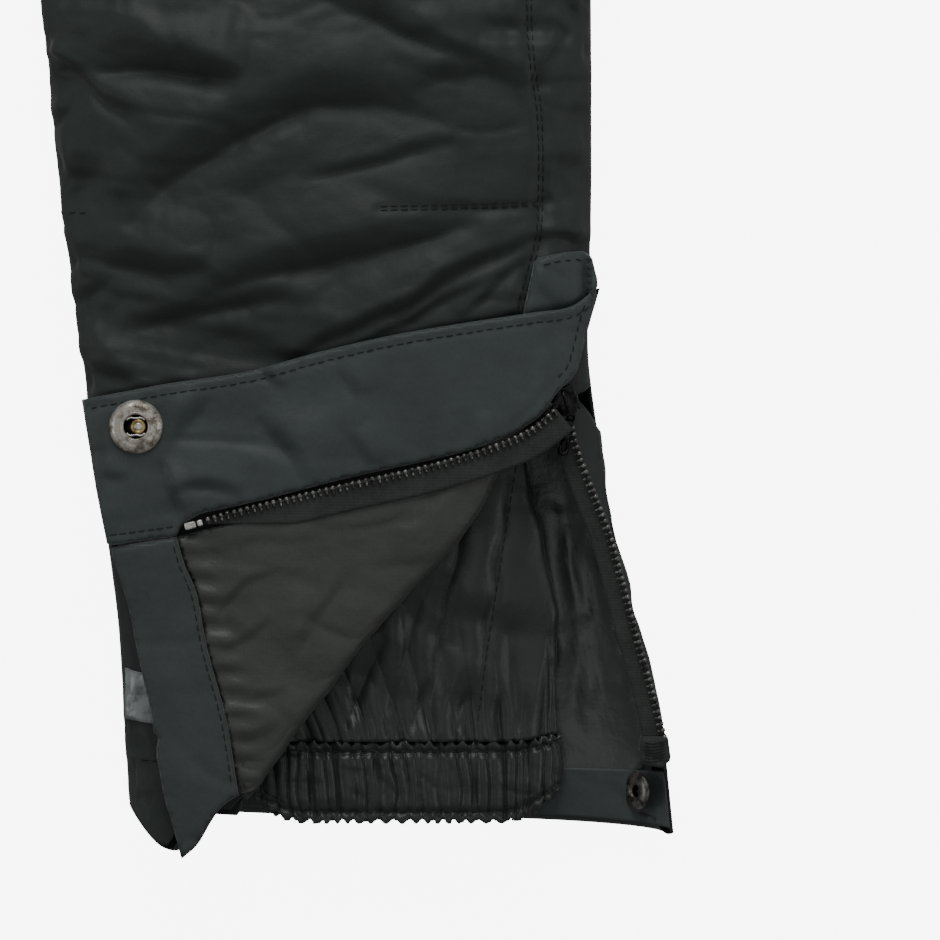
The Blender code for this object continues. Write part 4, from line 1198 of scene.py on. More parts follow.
def hem_fold(word, side, where, face):
    """Shell cloth turned in round a hem, from the shell to the lining."""
    t = spread(face, 0.05, pi - 0.05, 90)
    if side > 0 and face > 0:
        t = spread(face, 0.05, float(opened_t(np.array(OPENED_HEM_Y))), 40)
    s = np.linspace(0, 1, 9)[:, None]
    hem = HEM_INNER_Y + (HEM_OUTER_Y - HEM_INNER_Y) * t[None, :] / pi
    if side > 0 and face > 0:
        hem = hem - hem_dip(np.interp(t[None, :], FRONT_TURNS[1], FRONT_TURNS[0]))
    y = hem - 0.0008 * np.sin(pi * s) + 0.0045 * s ** 2
    points = section(side, face, t[None, :] * np.ones_like(y), y, 0.0002 + 0.0050 * s)
    points[..., 2] = np.maximum(points[..., 2], 0.0001)
    obj = grid_piece(f"{word}_{where}_hem_fold", points, SHELL_CLOTH, 0.0004, face * side < 0)
    place(obj, "pants", "shell_cloth")


SIDES = (("left", 1), ("right", -1))
shells = []
for side_word, side_sign in SIDES:
    for face_word, face_sign in (("front", 1), ("back", -1)):
        shells.append(panel_layers(side_word, side_sign, face_word, face_sign))
        hem_fold(side_word, side_sign, face_word, face_sign)
LEFT_FRONT, LEFT_BACK, RIGHT_FRONT, RIGHT_BACK = map(tree_of, shells)

# ---------------------------------------------------------------- the folded corner of the left leg


def corner_surface(x, y):
    """Height of the lining of the folded corner, with its soft creases."""
    height = plate_z(y) + LINING_Z + fold_height(x, y, fold_scaled(LINING_FOLDS, 1.5))
    height += crinkle_height(x, y, 131, 0.014, 0.0005)
    crease = np.abs(path_distance(x, y, smooth_path(CREASE, 0.004))[0])
    height -= 0.0010 * np.clip(1 - crease / 0.014, 0, 1) ** 2
    height -= CREASE_TURN * (1 - np.sqrt(1 - np.clip(1 - crease / CREASE_TURN, 0, 1) ** 2))
    seam = path_distance(x, y, smooth_path(FACING_SEAM, 0.004))[0]
    pucker = np.sin(y * 900 + 2.0 * lattice_noise(x, y, 0.02, 5))
    height += 0.0005 * pucker * np.exp(-(np.abs(seam - 0.004) / 0.005) ** 2)
    return height


def facing_surface(x, y):
    """Height of the shell cloth turned in along the hem of the folded corner."""
    height = plate_z(y) + FACING_Z + crinkle_height(x, y, 137, 0.018, 0.0004)
    edge = path_distance(x, y, smooth_path(CORNER_SIDE, 0.004))[0]
    height -= 0.0012 * np.exp(-(edge / 0.005) ** 2)
    return height


def under_corner_surface(x, y):
    """Height of the outer cloth on the underside of the folded corner."""
    return plate_z(y) + 0.0002


def folded_corner():
    """Lining, facing and outer cloth of the folded corner. Returns the line of its fold."""
    fold = smooth_path(CREASE, CURVE_STEP)
    crease = offset_path(fold, -ROLL_BULGE)
    top, seam, tip, side = [smooth_path(p, CURVE_STEP) for p in (CORNER_TOP, FACING_SEAM, TIP, CORNER_SIDE)]
    lining = np.concatenate((top[18:], fold, seam[::-1]))
    obj = soft_patch("left_corner_lining_cloth", lining, corner_surface, 0.0006, LINING_CLOTH, 0.0011, 0.0004)
    place(obj, "left_corner", "lining_cloth", "left_corner_lining")
    facing = np.concatenate((seam, tip[1:], side[1:], ((0.0612, -0.3075), (0.0690, -0.3062))))
    obj = soft_patch("left_hem_facing_cloth", facing, facing_surface, 0.0010, FACING_CLOTH, 0.0014, 0.0009)
    place(obj, "left_corner", "shell_cloth", "left_hem_facing")
    row = offset_path(seam, -0.0016)[1:-2]
    stitching("left_facing_stitching", "left_corner", stitch_places(tree_of(obj), row))
    shell = np.concatenate((top, crease, tip[1:], side[1:]))
    obj = soft_patch("left_corner_shell_cloth", shell, under_corner_surface, 0.0008, SHELL_CLOTH, 0.0025,
                     0.0006)
    place(obj, "left_corner", "shell_cloth", "left_corner_shell")
    return crease


def crease_roll(crease):
    """The lining where the front turns over into the folded corner."""
    line = crease[2:-1]
    steps = np.gradient(line, axis=0)
    steps /= np.linalg.norm(steps, axis=1, keepdims=True)
    out = np.stack((-steps[:, 1], steps[:, 0]), axis=1)
    turns = np.linspace(-pi / 2, pi / 2, 14)
    rows = []
    for k, ((x, y), (nx, ny)) in enumerate(zip(line, out)):
        high = float(plate_z(y)) + 0.0009
        low = float(crown_z(x, y)) - 0.0050
        share = k / (len(line) - 1)
        uneven = 0.75 + 0.15 * sin(share * 23) * sin(share * 57 + 1)
        swell = ROLL_BULGE * uneven * min(1, 5 * share + 0.25)
        middle, half = (high + low) / 2, (high - low) / 2
        back_x, back_y = x - nx * 0.006, y - ny * 0.006
        ring = [(x + nx * swell * cos(a), y + ny * swell * cos(a), middle + half * sin(a)) for a in turns]
        rows.append([(back_x, back_y, low), *ring, (back_x, back_y, high)])
    obj = grid_piece("left_corner_fold_roll", np.array(rows), LINING_CLOTH, 0.0005, flip=True)
    soften = obj.modifiers.new("soften", "SUBSURF")
    soften.levels = 1
    soften.render_levels = 1
    place(obj, "pants", "lining_cloth")


crease_roll(folded_corner())

# ---------------------------------------------------------------- storm flap and snap of the left leg


def flap_surface(x, y):
    """Height of the storm flap, which droops a little over the leg's inner edge."""
    height = plate_z(y) + FLAP_Z + 0.0002
    soft = fold_height(x, y, fold_scaled(FLAP_FOLDS, 2.4)) + crinkle_height(x, y, 151, 0.022, 0.0009)
    snap = np.hypot(x - SNAP_ON_FLAP[0], y - SNAP_ON_FLAP[1])
    height += soft * np.clip((snap - 0.0085) / 0.006, 0, 1)
    height -= 0.0040 * np.clip((0.0605 - x) / 0.0085, 0, 1) ** 2
    height -= 0.0120 * np.clip((x - 0.188) / 0.019, 0, 1) ** 1.6
    outline = np.concatenate((smooth_path(FLAP_TOP, 0.004), smooth_path(FLAP_SIDE, 0.004)))
    edge = np.abs(path_distance(x, y, outline)[0])
    height -= 0.0004 * np.exp(-((edge - TOPSTITCH_INSET) / 0.0007) ** 2)
    end = np.abs(path_distance(x, y, np.array(((0.0600, -0.3040), (0.0800, -0.3015))))[0])
    height -= 0.0004 * np.exp(-(end / 0.0008) ** 2)
    return height


def snap_socket(middle):
    """Ring snap: a domed ring, its rim and its two spring wires, with the post's end in the middle, over a
    dark disc that is painted shade in the ring's hole.
    """
    ring = [(0.0039, 0.0012), (0.0040, 0.0018), (0.0043, 0.0021), (0.0047, 0.0021), (0.0051, 0.0019),
            (0.0058, 0.0020), (0.0064, 0.0018), (0.0070, 0.0014), (0.0076, 0.0009), (0.0080, 0.0003),
            (0.0080, 0.0), (0.0039, 0.0), (0.0039, 0.0012)]
    rim = [(0.0036, 0.0014), (0.0038, 0.0020), (0.0041, 0.0022), (0.0044, 0.0020), (0.0045, 0.0014)]
    # Dark disc of painted shade that fills the ring's hole, under the post.
    base = [(0.0, 0.0001), (0.0039, 0.0001), (0.0039, 0.0), (0.0, 0.0)]
    post = [(0.0, 0.0010), (0.0012, 0.0010), (0.0016, 0.0014), (0.0020, 0.0014), (0.0022, 0.0010),
            (0.0022, 0.0)]
    tip = [(0.0, 0.0014), (0.0008, 0.00135), (0.0011, 0.0012), (0.0012, 0.0009)]
    centre = Matrix.Translation(middle)
    beside = centre @ Matrix.Translation((0.0007, 0, 0))
    tick = Matrix.Translation((0, 0.0062, 0.00195)) @ Matrix.Rotation(-0.25, 4, "X")
    ticks = [centre @ Matrix.Rotation(2 * pi * k / 40, 4, "Z") @ tick for k in range(40)]
    turns = np.linspace(0.20 * pi, 0.80 * pi, 18)
    wires = [tube([(0.0033 * cos(a), sign * 0.0033 * sin(a) * (1.0 - 0.25 * sin(a) ** 8), 0.0013)
                   for a in turns], 0.00028) for sign in (1, -1)]
    domes = merged(revolved(ring, 96), revolved(rim, 96))
    fitting("left_snap_socket_ring", "left_flap", NICKEL, domes, [centre], "left_snap_socket")
    fitting("left_snap_milling", "left_flap", NICKEL, rounded_box((0.00022, 0.0007, 0.00016), 0.00006), ticks)
    fitting("left_snap_hole_painted_shade", "left_flap", DARK_METAL, revolved(base, 64), [centre])
    fitting("left_snap_springs", "left_flap", PALE_METAL, merged(*wires), [centre])
    fitting("left_snap_post_ring", "left_flap", BRASS, revolved(post, 48), [beside])
    fitting("left_snap_post_end", "left_flap", PALE_METAL, revolved(tip, 32), [beside])


def cap_template(high=0.0019, radius=SNAP_R):
    """Domed snap cap with a rolled rim and a milled line."""
    profile = ((0.0, 1.0), (0.25, 0.985), (0.5, 0.93), (0.70, 0.82), (0.74, 0.74), (0.78, 0.76), (0.88, 0.62),
               (0.96, 0.38), (1.0, 0.12), (0.98, 0.0), (0.0, 0.0))
    return revolved([(radius * r, high * z) for r, z in profile], 72)


def left_flap():
    """Storm flap with its inner face up, and its snap."""
    top, side, zip_side = [smooth_path(p, CURVE_STEP) for p in (FLAP_TOP, FLAP_SIDE, FLAP_ZIP_SIDE)]
    outline = np.concatenate((top[:-1], side[:-1], zip_side[:-1], evenly(FLAP_END, CURVE_STEP)[:-1]))
    x, y = SNAP_ON_FLAP
    turns = np.linspace(0, 2 * pi, 24, endpoint=False)
    hole = [(x + 0.0025 * cos(a), y + 0.0025 * sin(a)) for a in turns]
    obj = soft_patch("left_storm_flap_cloth", outline[::-1], flap_surface, 0.0012, FLAP_CLOTH, 0.0013, 0.0007,
                     [hole])
    place(obj, "left_flap", "shell_cloth", "left_storm_flap")
    tree = tree_of(obj)
    seams = stitch_places(tree, offset_path(top, -TOPSTITCH_INSET)[1:-3])
    seams += stitch_places(tree, offset_path(side, -TOPSTITCH_INSET)[3:-9])
    seams += stitch_places(tree, ((0.0605, -0.3040), (0.0800, -0.3013)))
    stitching("left_flap_stitching", "left_flap", seams)
    snap_z = float(flap_surface(np.array([x]), np.array([y]))[0]) + FLAP_THICK + 0.0004
    snap_socket(Vector((x, y, snap_z)))
    under = Matrix.Translation((x, y, snap_z - FLAP_THICK - 0.0006)) @ UPSIDE_DOWN
    fitting("left_snap_back_cap", "left_flap", NICKEL, cap_template(0.0016), [under],
            "left_snap_cap")


ROOT_PLEAT = ((0.2000, -0.2192), (0.1990, -0.2260), (0.2010, -0.2330), (0.2020, -0.2390))


def flap_root():
    """Upper end of the storm flap, sewn down on the leg."""
    outline = ((0.1884, -0.2212), (0.1960, -0.2195), (0.2016, -0.2188), (0.2043, -0.2200), (0.2052, -0.2240),
               (0.2064, -0.2285), (0.2030, -0.2400), (0.1850, -0.2420), (0.1838, -0.2380), (0.1872, -0.2218))
    outline = even_loop(outline)

    def rest(x, y):
        lift = 0.0004 + 0.0006 * np.clip((x - 0.190) / 0.010, 0, 1)
        fold = 0.0016 * np.exp(-(path_distance(x, y, smooth_path(ROOT_PLEAT))[0] / 0.0012) ** 2)
        soft = crinkle_height(x, y, 161, 0.010, 0.0004)
        shell = np.array([drop(LEFT_FRONT, u, v)[0].z for u, v in zip(x, y)])
        smooth = np.minimum(crown_z(x, y), plate_z(y) + 0.0006)
        return np.maximum(smooth - fold, shell) + lift + soft

    obj = soft_patch("left_flap_root", outline[::-1], rest, 0.0012, FLAP_CLOTH, 0.0012, 0.0008)
    place(obj, "pants", "shell_cloth")
    seam = stitch_places(tree_of(obj), ((0.1895, -0.2235), (0.1960, -0.2220), (0.2020, -0.2216)))
    stitching("left_flap_root_stitching", "pants", seam)


left_flap()
flap_root()

# ---------------------------------------------------------------- zips


def tooth():
    """One tooth: a block across the tape with a raised head at its outer end."""
    body = rounded_box((0.0021, 0.0007, 0.0009), 0.0002, 2, 0.85)
    head = rounded_box((0.0016, 0.0014, 0.0017), 0.0005, 3, 0.8)
    return merged(moved(body, Matrix.Translation((0.0002, 0, 0.0005))),
                  moved(head, Matrix.Translation((-0.0005, 0, 0.0009))))


def tape_grid(line, up, start, end, columns):
    """Grid across a tape that follows a line, from one sideways offset to another."""
    across = np.cross(np.gradient(line, axis=0), np.array(up))
    across /= np.linalg.norm(across, axis=1, keepdims=True)
    offsets = np.linspace(start, end, columns)
    return line[:, None, :] + across[:, None, :] * offsets[None, :, None]


def between_points(line, pitch):
    """Middle and direction of each step of a line that is cut into even steps."""
    spots = [Vector(p) for p in evenly(line, pitch)]
    return [((a + b) / 2, b - a) for a, b in zip(spots, spots[1:])]


def half_zip(prefix, body, line, up, wide, node):
    """Tape and teeth of one half of an open zip. The corner's tape narrows towards the end stop."""
    tape = tape_grid(line, up, -TAPE_LIP, wide, 9)
    if body == "left_corner":
        start = line[:, None, :]
        tape = start + (tape - start) * np.clip(0.12 + np.arange(len(line)) / 15, 0, 1)[:, None, None]
    tape[..., 2] += 0.0003 * lattice_noise(tape[..., 0], tape[..., 1], 0.008, 77)
    obj = grid_piece(f"{prefix}_tape", tape, TAPE_CLOTH, 0.0005)
    place(obj, body, "zip_tape", node)
    up = Vector(up)
    spots = [matrix_of(middle + up * 0.0001, way, up) for middle, way in between_points(line, TOOTH_PITCH)]
    fitting(f"{prefix}_teeth", body, TEETH_METAL, tooth(), spots)


def slider_template():
    """Slider body: a top plate with a pointed nose, a bottom plate, side flanges and a pull bridge."""
    nose = [(-0.0036, 0.0020), (-0.0038, 0.0055), (-0.0026, 0.0085), (-0.0008, 0.0092), (0.0008, 0.0092),
            (0.0026, 0.0085), (0.0038, 0.0055), (0.0036, 0.0020), (0.0030, 0.0002), (-0.0030, 0.0002)]
    middle_y = 0.0046
    plates = []
    for low, high in ((0.0021, 0.0029), (-0.0006, -0.0001)):
        mesh = bmesh.new()
        bottom = [mesh.verts.new((x, y - middle_y, low)) for x, y in nose]
        top = [mesh.verts.new((x * 0.94, (y - middle_y) * 0.96, high)) for x, y in nose]
        mesh.faces.new(bottom)
        mesh.faces.new(top[::-1])
        for k in range(len(nose)):
            after = (k + 1) % len(nose)
            mesh.faces.new((bottom[after], bottom[k], top[k], top[after]))
        bmesh.ops.recalc_face_normals(mesh, faces=mesh.faces)
        plates.append(bevelled(mesh, 0.0002, 2))
    flanges = [moved(rounded_box((0.0006, 0.0062, 0.0018), 0.0002), Matrix.Translation((x, 0.0004, 0.0013)))
               for x in (-0.0034, 0.0034)]
    arch = [(0, 0.0030 * cos(a), 0.0029 + 0.0014 * sin(a)) for a in np.linspace(0, pi, 13)]
    bridge = tube(arch, 0.00055, 10)
    return merged(*plates, *flanges, bridge)


def pull_piece(name, body, matrix, length, half, node):
    """Flat pull tab that points along its frame's Y, with an eye at its pivot and a slot at its end."""
    turns = np.linspace(0, pi, 13)
    far = [(half * 1.15 * cos(a), length - half + half * sin(a)) for a in turns]
    near = [(half * 0.95 * cos(a), -half * 0.55 + half * sin(a) * 0.9) for a in turns + pi]
    outline = [*far, (-half * 0.8, length * 0.45), *near, (half * 0.8, length * 0.45)]
    ring = np.linspace(0, 2 * pi, 18, endpoint=False)
    eye = [(half * 0.45 * cos(a), half * 0.45 * sin(a)) for a in ring]
    slot = [(half * 0.45 * cos(a), length * 0.72 + length * 0.14 * sin(a)) for a in ring]
    obj = soft_patch(name, outline[::-1], -0.0005, 0.0010, DARK_METAL, 0.0006, 0.0004, [eye, slot], matrix)
    place(obj, body, "dark_metal", node)


def joint_frame(prefix):
    """A closed zip's pull pivot, direction and outward direction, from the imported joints."""
    _, direction = joint_line(f"{prefix}_zip_slide")
    pivot, hinge = joint_line(f"{prefix}_pull_lift")
    return pivot, direction, towards(hinge.cross(direction).normalized(), UP)


def zip_welt(name, a, b, up, offset):
    """Strip of cloth beside a closed zip, along the line from a to b."""
    direction = (b - a).normalized()
    length = (b - a).length
    far = offset + WELT_WIDE
    outline = even_loop(((offset, 0), (far, 0), (far, length), (offset, length)))
    matrix = axes_matrix(a, direction.cross(up).normalized(), direction, up)

    def rest(x, y):
        return 0.0002 + crinkle_height(x + a.x, y + a.y, 201, 0.012, 0.0002)

    obj = soft_patch(name, outline, rest, 0.0011, BAND_CLOTH, 0.0018, 0.0012, matrix=matrix)
    place(obj, "pants", "shell_cloth")
    return obj


def closed_zip(prefix, length, pull_sign=1, welts=True):
    """Closed zip with its slider, pull, tape, teeth and cloth edges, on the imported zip's line. Returns
    its outward direction."""
    pivot, direction, up = joint_frame(prefix)
    slider_at = pivot - up * PULL_Z
    start = slider_at - direction * SLIDER_LONG
    end = start + direction * length
    line = np.array([start.lerp(end, k / 60) for k in range(61)])
    half = POCKET_TAPE_HALF if "pocket" in prefix else TAPE_HALF
    obj = grid_piece(f"{prefix}_zip_tape", tape_grid(line, up, -half, half, 13), TAPE_CLOTH, 0.0004)
    place(obj, "pants", "zip_tape", f"{prefix}_zip")
    spots = []
    for k, (middle, _) in enumerate(between_points(line, TOOTH_PITCH / 2)):
        turn = Matrix.Rotation(pi * (k % 2), 4, "Z") @ Matrix.Translation((0.0006, 0, 0))
        spots.append(matrix_of(middle + up * 0.0004, direction, up) @ turn)
    fitting(f"{prefix}_zip_teeth", "pants", PLASTIC_TEETH, tooth(), spots)
    slider = matrix_of(slider_at, direction * pull_sign, up)
    fitting(f"{prefix}_slider_body", f"{prefix}_slider", DARK_METAL, slider_template(), [slider],
            f"{prefix}_zip_slider")
    pull = matrix_of(pivot, direction * pull_sign, up)
    pull_piece(f"{prefix}_pull_tab", f"{prefix}_pull", pull, PULL_LONG, 0.0019, f"{prefix}_zip_pull")
    if welts:
        past = direction * 0.003
        across = direction.cross(up).normalized()
        seams = []
        for k, sign in enumerate((-1, 1)):
            offset = WELT_AWAY if sign > 0 else -WELT_AWAY - WELT_WIDE
            strip = zip_welt(f"{prefix}_zip_welt_{k + 1}", start - past, end + past, up, offset)
            a, b = start + across * sign * WELT_SEAM, end + across * sign * WELT_SEAM
            seams += stitch_places(tree_of(strip), ((a.x, a.y), (b.x, b.y)))
        stitching(f"{prefix}_zip_stitching", "pants", seams)
    return up


def left_front_zip():
    """Front half of the open zip, on the folded corner, and its two-piece end stop."""
    path = smooth_path(FRONT_TEETH, CURVE_STEP)
    line = np.column_stack((path, plate_z(path[:, 1]) + 0.0030))
    half_zip("left_zip_front", "left_corner", line, (0, -PLATE_SLOPE, 1), FRONT_TAPE_WIDE,
             "left_zip_front_half")
    direction = Vector(line[3] - line[0]).normalized()
    ends = []
    for back, size in ((0.0016, (0.0019, 0.0016, 0.0019)), (0.0046, (0.0021, 0.0034, 0.0018))):
        middle = Vector(line[0]) - direction * back + UP * 0.0008
        ends.append(moved(rounded_box(size, 0.0005, 3), matrix_of(middle, direction, UP)))
    fitting("left_zip_stop_pieces", "left_corner", PALE_METAL, merged(*ends), [Matrix.Identity(4)],
            "left_zip_end_stop")


def left_back_zip():
    """Back half of the open zip, its turned-in end, and the wall of cloth beside it."""
    path = smooth_path(BACK_TEETH, CURVE_STEP)
    line = np.column_stack((path, np.linspace(*BACK_TEETH_Z, len(path))))
    up = np.array((-0.10, 0.0, 1.0))
    half_zip("left_zip_back", "pants", line, up / np.linalg.norm(up), BACK_TAPE_WIDE, "left_zip_back_half")
    zip_end_fold(line[-1])
    back_zip_wall(line)


def left_slider():
    """Slider at the top of the open zip, and its pull."""
    _, direction = joint_line("left_zip_slide")
    pivot, hinge = joint_line("left_pull_lift")
    up = (UP - direction * UP.dot(direction)).normalized()
    low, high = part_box("left_zip_slider")
    slider = matrix_of((low + high) / 2 - up * 0.0012, direction, up)
    fitting("left_slider_body", "left_slider", DARK_METAL, slider_template(), [slider],
            "left_zip_slider")
    way = towards(up.cross(hinge).normalized(), (0, -1, 0))
    pull_piece("left_pull_tab", "left_pull", matrix_of(pivot, way, up), 0.0115, 0.0014, "left_zip_pull")


def back_zip_wall(line):
    """Shell cloth that rises from the back's outer edge to the zip tape."""
    above = line[0] - np.arange(4, 0, -1)[:, None] * (line[1] - line[0])
    rows = []
    for row, (x, y, z) in enumerate(np.concatenate((above, line))):
        # The wall's upper end starts half way up and widens to its full width.
        shares = np.linspace(max(-0.1, 0.5 - 0.1 * row), 1, 9)
        low_x, low_z = float(at(OUTER, y)), float(at(THICKNESS, y)) / 2 - SEAM_GAP / 2
        high_x, high_z = x - 0.0022, z - 0.0007
        rows.append([(low_x + (high_x - low_x) * k - 0.0006 * sin(pi * k), y, low_z + (high_z - low_z) * k)
                     for k in shares])
    points = np.array(rows)
    points[..., 0] += crinkle_height(points[..., 1], points[..., 2] * 2, 181, 0.010, 0.0006)
    obj = grid_piece("left_zip_back_wall", points, SHELL_CLOTH, 0.0006)
    place(obj, "pants", "shell_cloth")


def zip_end_fold(end):
    """Turned-in end of the back zip tape, held with a dense bar of stitches."""
    x, y, z = end
    outline = even_loop(((x - 0.0072, y + 0.0010), (x + 0.0012, y + 0.0012), (x + 0.0022, y - 0.0060),
                         (x - 0.0006, y - 0.0085), (x - 0.0068, y - 0.0070)), 0.0015)

    def rest(u, v):
        return z + 0.0003 + crinkle_height(u, v, 9, 0.004, 0.0004)

    obj = soft_patch("left_zip_end_fold", outline[::-1], rest, 0.0014, TAPE_CLOTH, 0.0008, 0.0010)
    place(obj, "pants", "zip_tape")
    tree = tree_of(obj)
    bars = []
    for v in y - 0.0008 - 0.0009 * np.arange(7):
        bar = ((x - 0.0060, v), (x - 0.0030, v - 0.0006), (x + 0.0004, v + 0.0004))
        bars += stitch_places(tree, bar, pitch=0.0022)
    stitching("left_zip_end_stitching", "pants", bars)


left_front_zip()
left_back_zip()
left_slider()

# ---------------------------------------------------------------- gaiters


def gaiter_points(side, y, shares, grow=0.0):
    """Points round a gaiter. shares run from its inner edge over the top, 0 to 1 for the whole ring."""
    t = np.interp(shares, *RING_TURNS)
    inner = at(GAITER_IN, y) - grow
    outer = at(GAITER_OUT, y) + grow
    half = at(THICKNESS, y) / 2
    rise = half - GAITER_CLEAR + grow
    power = np.where(np.sin(t) >= 0, 2 / FRONT_SQUARENESS, 2 / BACK_SQUARENESS)
    x = (inner + outer) / 2 - np.sign(np.cos(t)) * np.abs(np.cos(t)) ** power * (outer - inner) / 2
    z = half + np.sign(np.sin(t)) * np.abs(np.sin(t)) ** power * rise
    return np.stack((side * x, y, z), axis=-1), t


def gathers(shares, seed, count=46):
    """Uneven narrow pleats round an elastic cuff, each with a round back and a sharp valley."""
    rng = np.random.default_rng(seed)
    steps = rng.uniform(0.6, 1.4, count)
    phase = np.interp(shares, np.concatenate(((0.0,), np.cumsum(steps) / steps.sum())), np.arange(count + 1))
    strength = rng.uniform(0.55, 1.15, count + 1)
    height = np.interp(phase, np.arange(count + 1), strength)
    return (np.abs(np.sin(phase * pi)) ** 0.6 * 2 - 1.2) * height


def cuff_y(share):
    """Height up the leg of a row of the cuff, from 0 at its low edge to 1 at its high edge."""
    return CUFF_LOW_Y + (CUFF_TOP_Y - CUFF_LOW_Y) * share


def cuff_rise(t):
    """How much higher the cuff sits near its two ends, where it goes round the ankle."""
    return 0.0075 * np.clip(np.abs(np.cos(t)) - 0.55, 0, 1) ** 1.6


def gaiter_cloth(word, side):
    """Thin shiny cloth of a snow cuff, from its seam inside the leg down to its elastic tunnel."""
    shares = np.linspace(0, 1, 640, endpoint=False)[None, :]
    rows = np.linspace(0, 1, 150)[:, None]
    low = CUFF_TOP_Y + 0.0004 + cuff_rise(np.interp(shares, *RING_TURNS))
    y = low + (GAITER_TOP_Y - low) * rows
    points, t = gaiter_points(side, y, shares * np.ones_like(y))
    x = points[..., 0]
    above = y - low
    shares_bent = (shares + 0.006 * lattice_noise(x, y, 0.016, 5) * (1 - np.exp(-rows * 9))) % 1.0
    uneven = 0.65 + 0.35 * lattice_noise(x, y, 0.012, 15)
    height = 0.0011 * gathers(shares_bent, 3) * np.exp(-(above / 0.0085) ** 1.2) * uneven
    height += 0.0016 * gathers(shares_bent, 12, 19) * np.exp(-(above / 0.026) ** 1.5) * uneven
    height += 0.0012 * np.exp(-(above / 0.006) ** 2)
    sharp = 1 - np.abs(lattice_noise(x * 0.9 - 0.15 * y, y * 0.3, 0.013, 67)) * 2.4
    height += 0.0013 * np.clip(sharp, -0.6, 1) * np.exp(-(above / 0.070) ** 2)
    height += crinkle_height(x, y, 61 + side, 0.019, 0.0012)
    height += np.where(np.sin(t) > 0, fold_height(side * x, y, GAITER_FOLDS, 0.3), 0)
    points = points + grid_normals(points) * side * height[..., None]
    points[..., 2] = np.maximum(points[..., 2], GAITER_FLOOR)
    obj = grid_piece(f"{word}_gaiter_cloth", points, GAITER_CLOTH, 0.0004, side < 0, True)
    place(obj, "pants", "gaiter_cloth", f"{word}_gaiter")
    return tree_of(obj)


def gaiter_cuff(word, side):
    """Elastic tunnel at a snow cuff's low end, with a row of stitches pinched in near each edge."""
    shares = np.linspace(0, 1, 900, endpoint=False)[None, :]
    rows = np.linspace(0, 1, 34)[:, None]
    y = cuff_y(rows) + cuff_rise(np.interp(shares, *RING_TURNS)) * (4.5 - 3.5 * rows)
    points, _ = gaiter_points(side, y, shares * np.ones_like(y), 0.0008)
    x = points[..., 0]
    lips = np.exp(-((rows - 0.02) / 0.06) ** 2) + np.exp(-((rows - 0.98) / 0.05) ** 2)
    pinch = sum(np.exp(-((rows - share) / 0.035) ** 2) for share in CUFF_SEAMS)
    lean = 0.0060 * lattice_noise(x, y * 0.7, 0.010, 9) * np.sin(pi * rows)
    fine = gathers((shares + lean) % 1.0, 3)
    coarse = gathers((shares - 0.7 * lean) % 1.0, 8, 21)
    uneven = 0.85 + 0.35 * lattice_noise(x, y, 0.008, 16)
    along = (0.8 + 0.2 * lips * (2 * rows - 1)) * (1 - 0.45 * pinch)
    height = (0.0012 * fine + 0.0014 * coarse) * uneven * along
    height += -0.0011 * pinch + 0.0009 * np.sin(pi * rows)
    height += 0.0005 * lips * lattice_noise(x, y, 0.0022, 18)
    height += crinkle_height(x, y, 69, 0.006, 0.0003)
    points = points + grid_normals(points) * side * height[..., None]
    points[..., 1] += 0.0007 * np.sin(shares * 330 + 2 * np.sin(shares * 41)) * (np.abs(rows - 0.5) * 2) ** 4
    obj = grid_piece(f"{word}_gaiter_cuff", points, GAITER_CLOTH, 0.0012, side < 0, True)
    place(obj, "pants", "gaiter_cloth", f"{word}_gaiter_elastic")
    return tree_of(obj)


def gaiter_stitching(cloth_tree, cuff_tree):
    """Rows of stitches on the left snow cuff, which is the one that shows."""
    xs = np.linspace(0.106, 0.190, 40)
    turn = np.arccos(np.clip(-(xs - 0.148) / 0.0455, -1, 1))
    seams = []
    for share in CUFF_SEAMS:
        row = np.column_stack((xs, cuff_y(share) + cuff_rise(turn) * (4.5 - 3.5 * share)))
        seams += stitch_places(cuff_tree, row, lift=0.0001, pitch=0.0026)
    seams += stitch_places(cloth_tree, offset_path(smooth_path(GAITER_SEAM, CURVE_STEP), 0.0009))
    stitching("left_gaiter_stitching", "pants", seams)


gaiter_stitching(gaiter_cloth("left", 1), gaiter_cuff("left", 1))
gaiter_cloth("right", -1)
gaiter_cuff("right", -1)

# ---------------------------------------------------------------- trims of the legs


def reflector(word, side, tree):
    """Reflective strip sewn across the front near the hem."""
    grid = []
    for share in np.linspace(1, 0, 12):
        line = []
        for t in np.linspace(0.16, 0.95, 40):
            y = -0.3440 - 0.0150 * share - 0.004 * (t - 0.16)
            point, normal, _, _ = tree.find_nearest(Vector(section(side, 1, np.array(t), np.array(y), 0.0)))
            line.append(tuple(point + towards(normal, UP) * 0.0005))
        grid.append(line)
    obj = grid_piece(f"{word}_reflective_strip", np.array(grid), REFLECTIVE, 0.0003, side < 0)
    place(obj, "pants", "reflective", f"{word}_reflector")


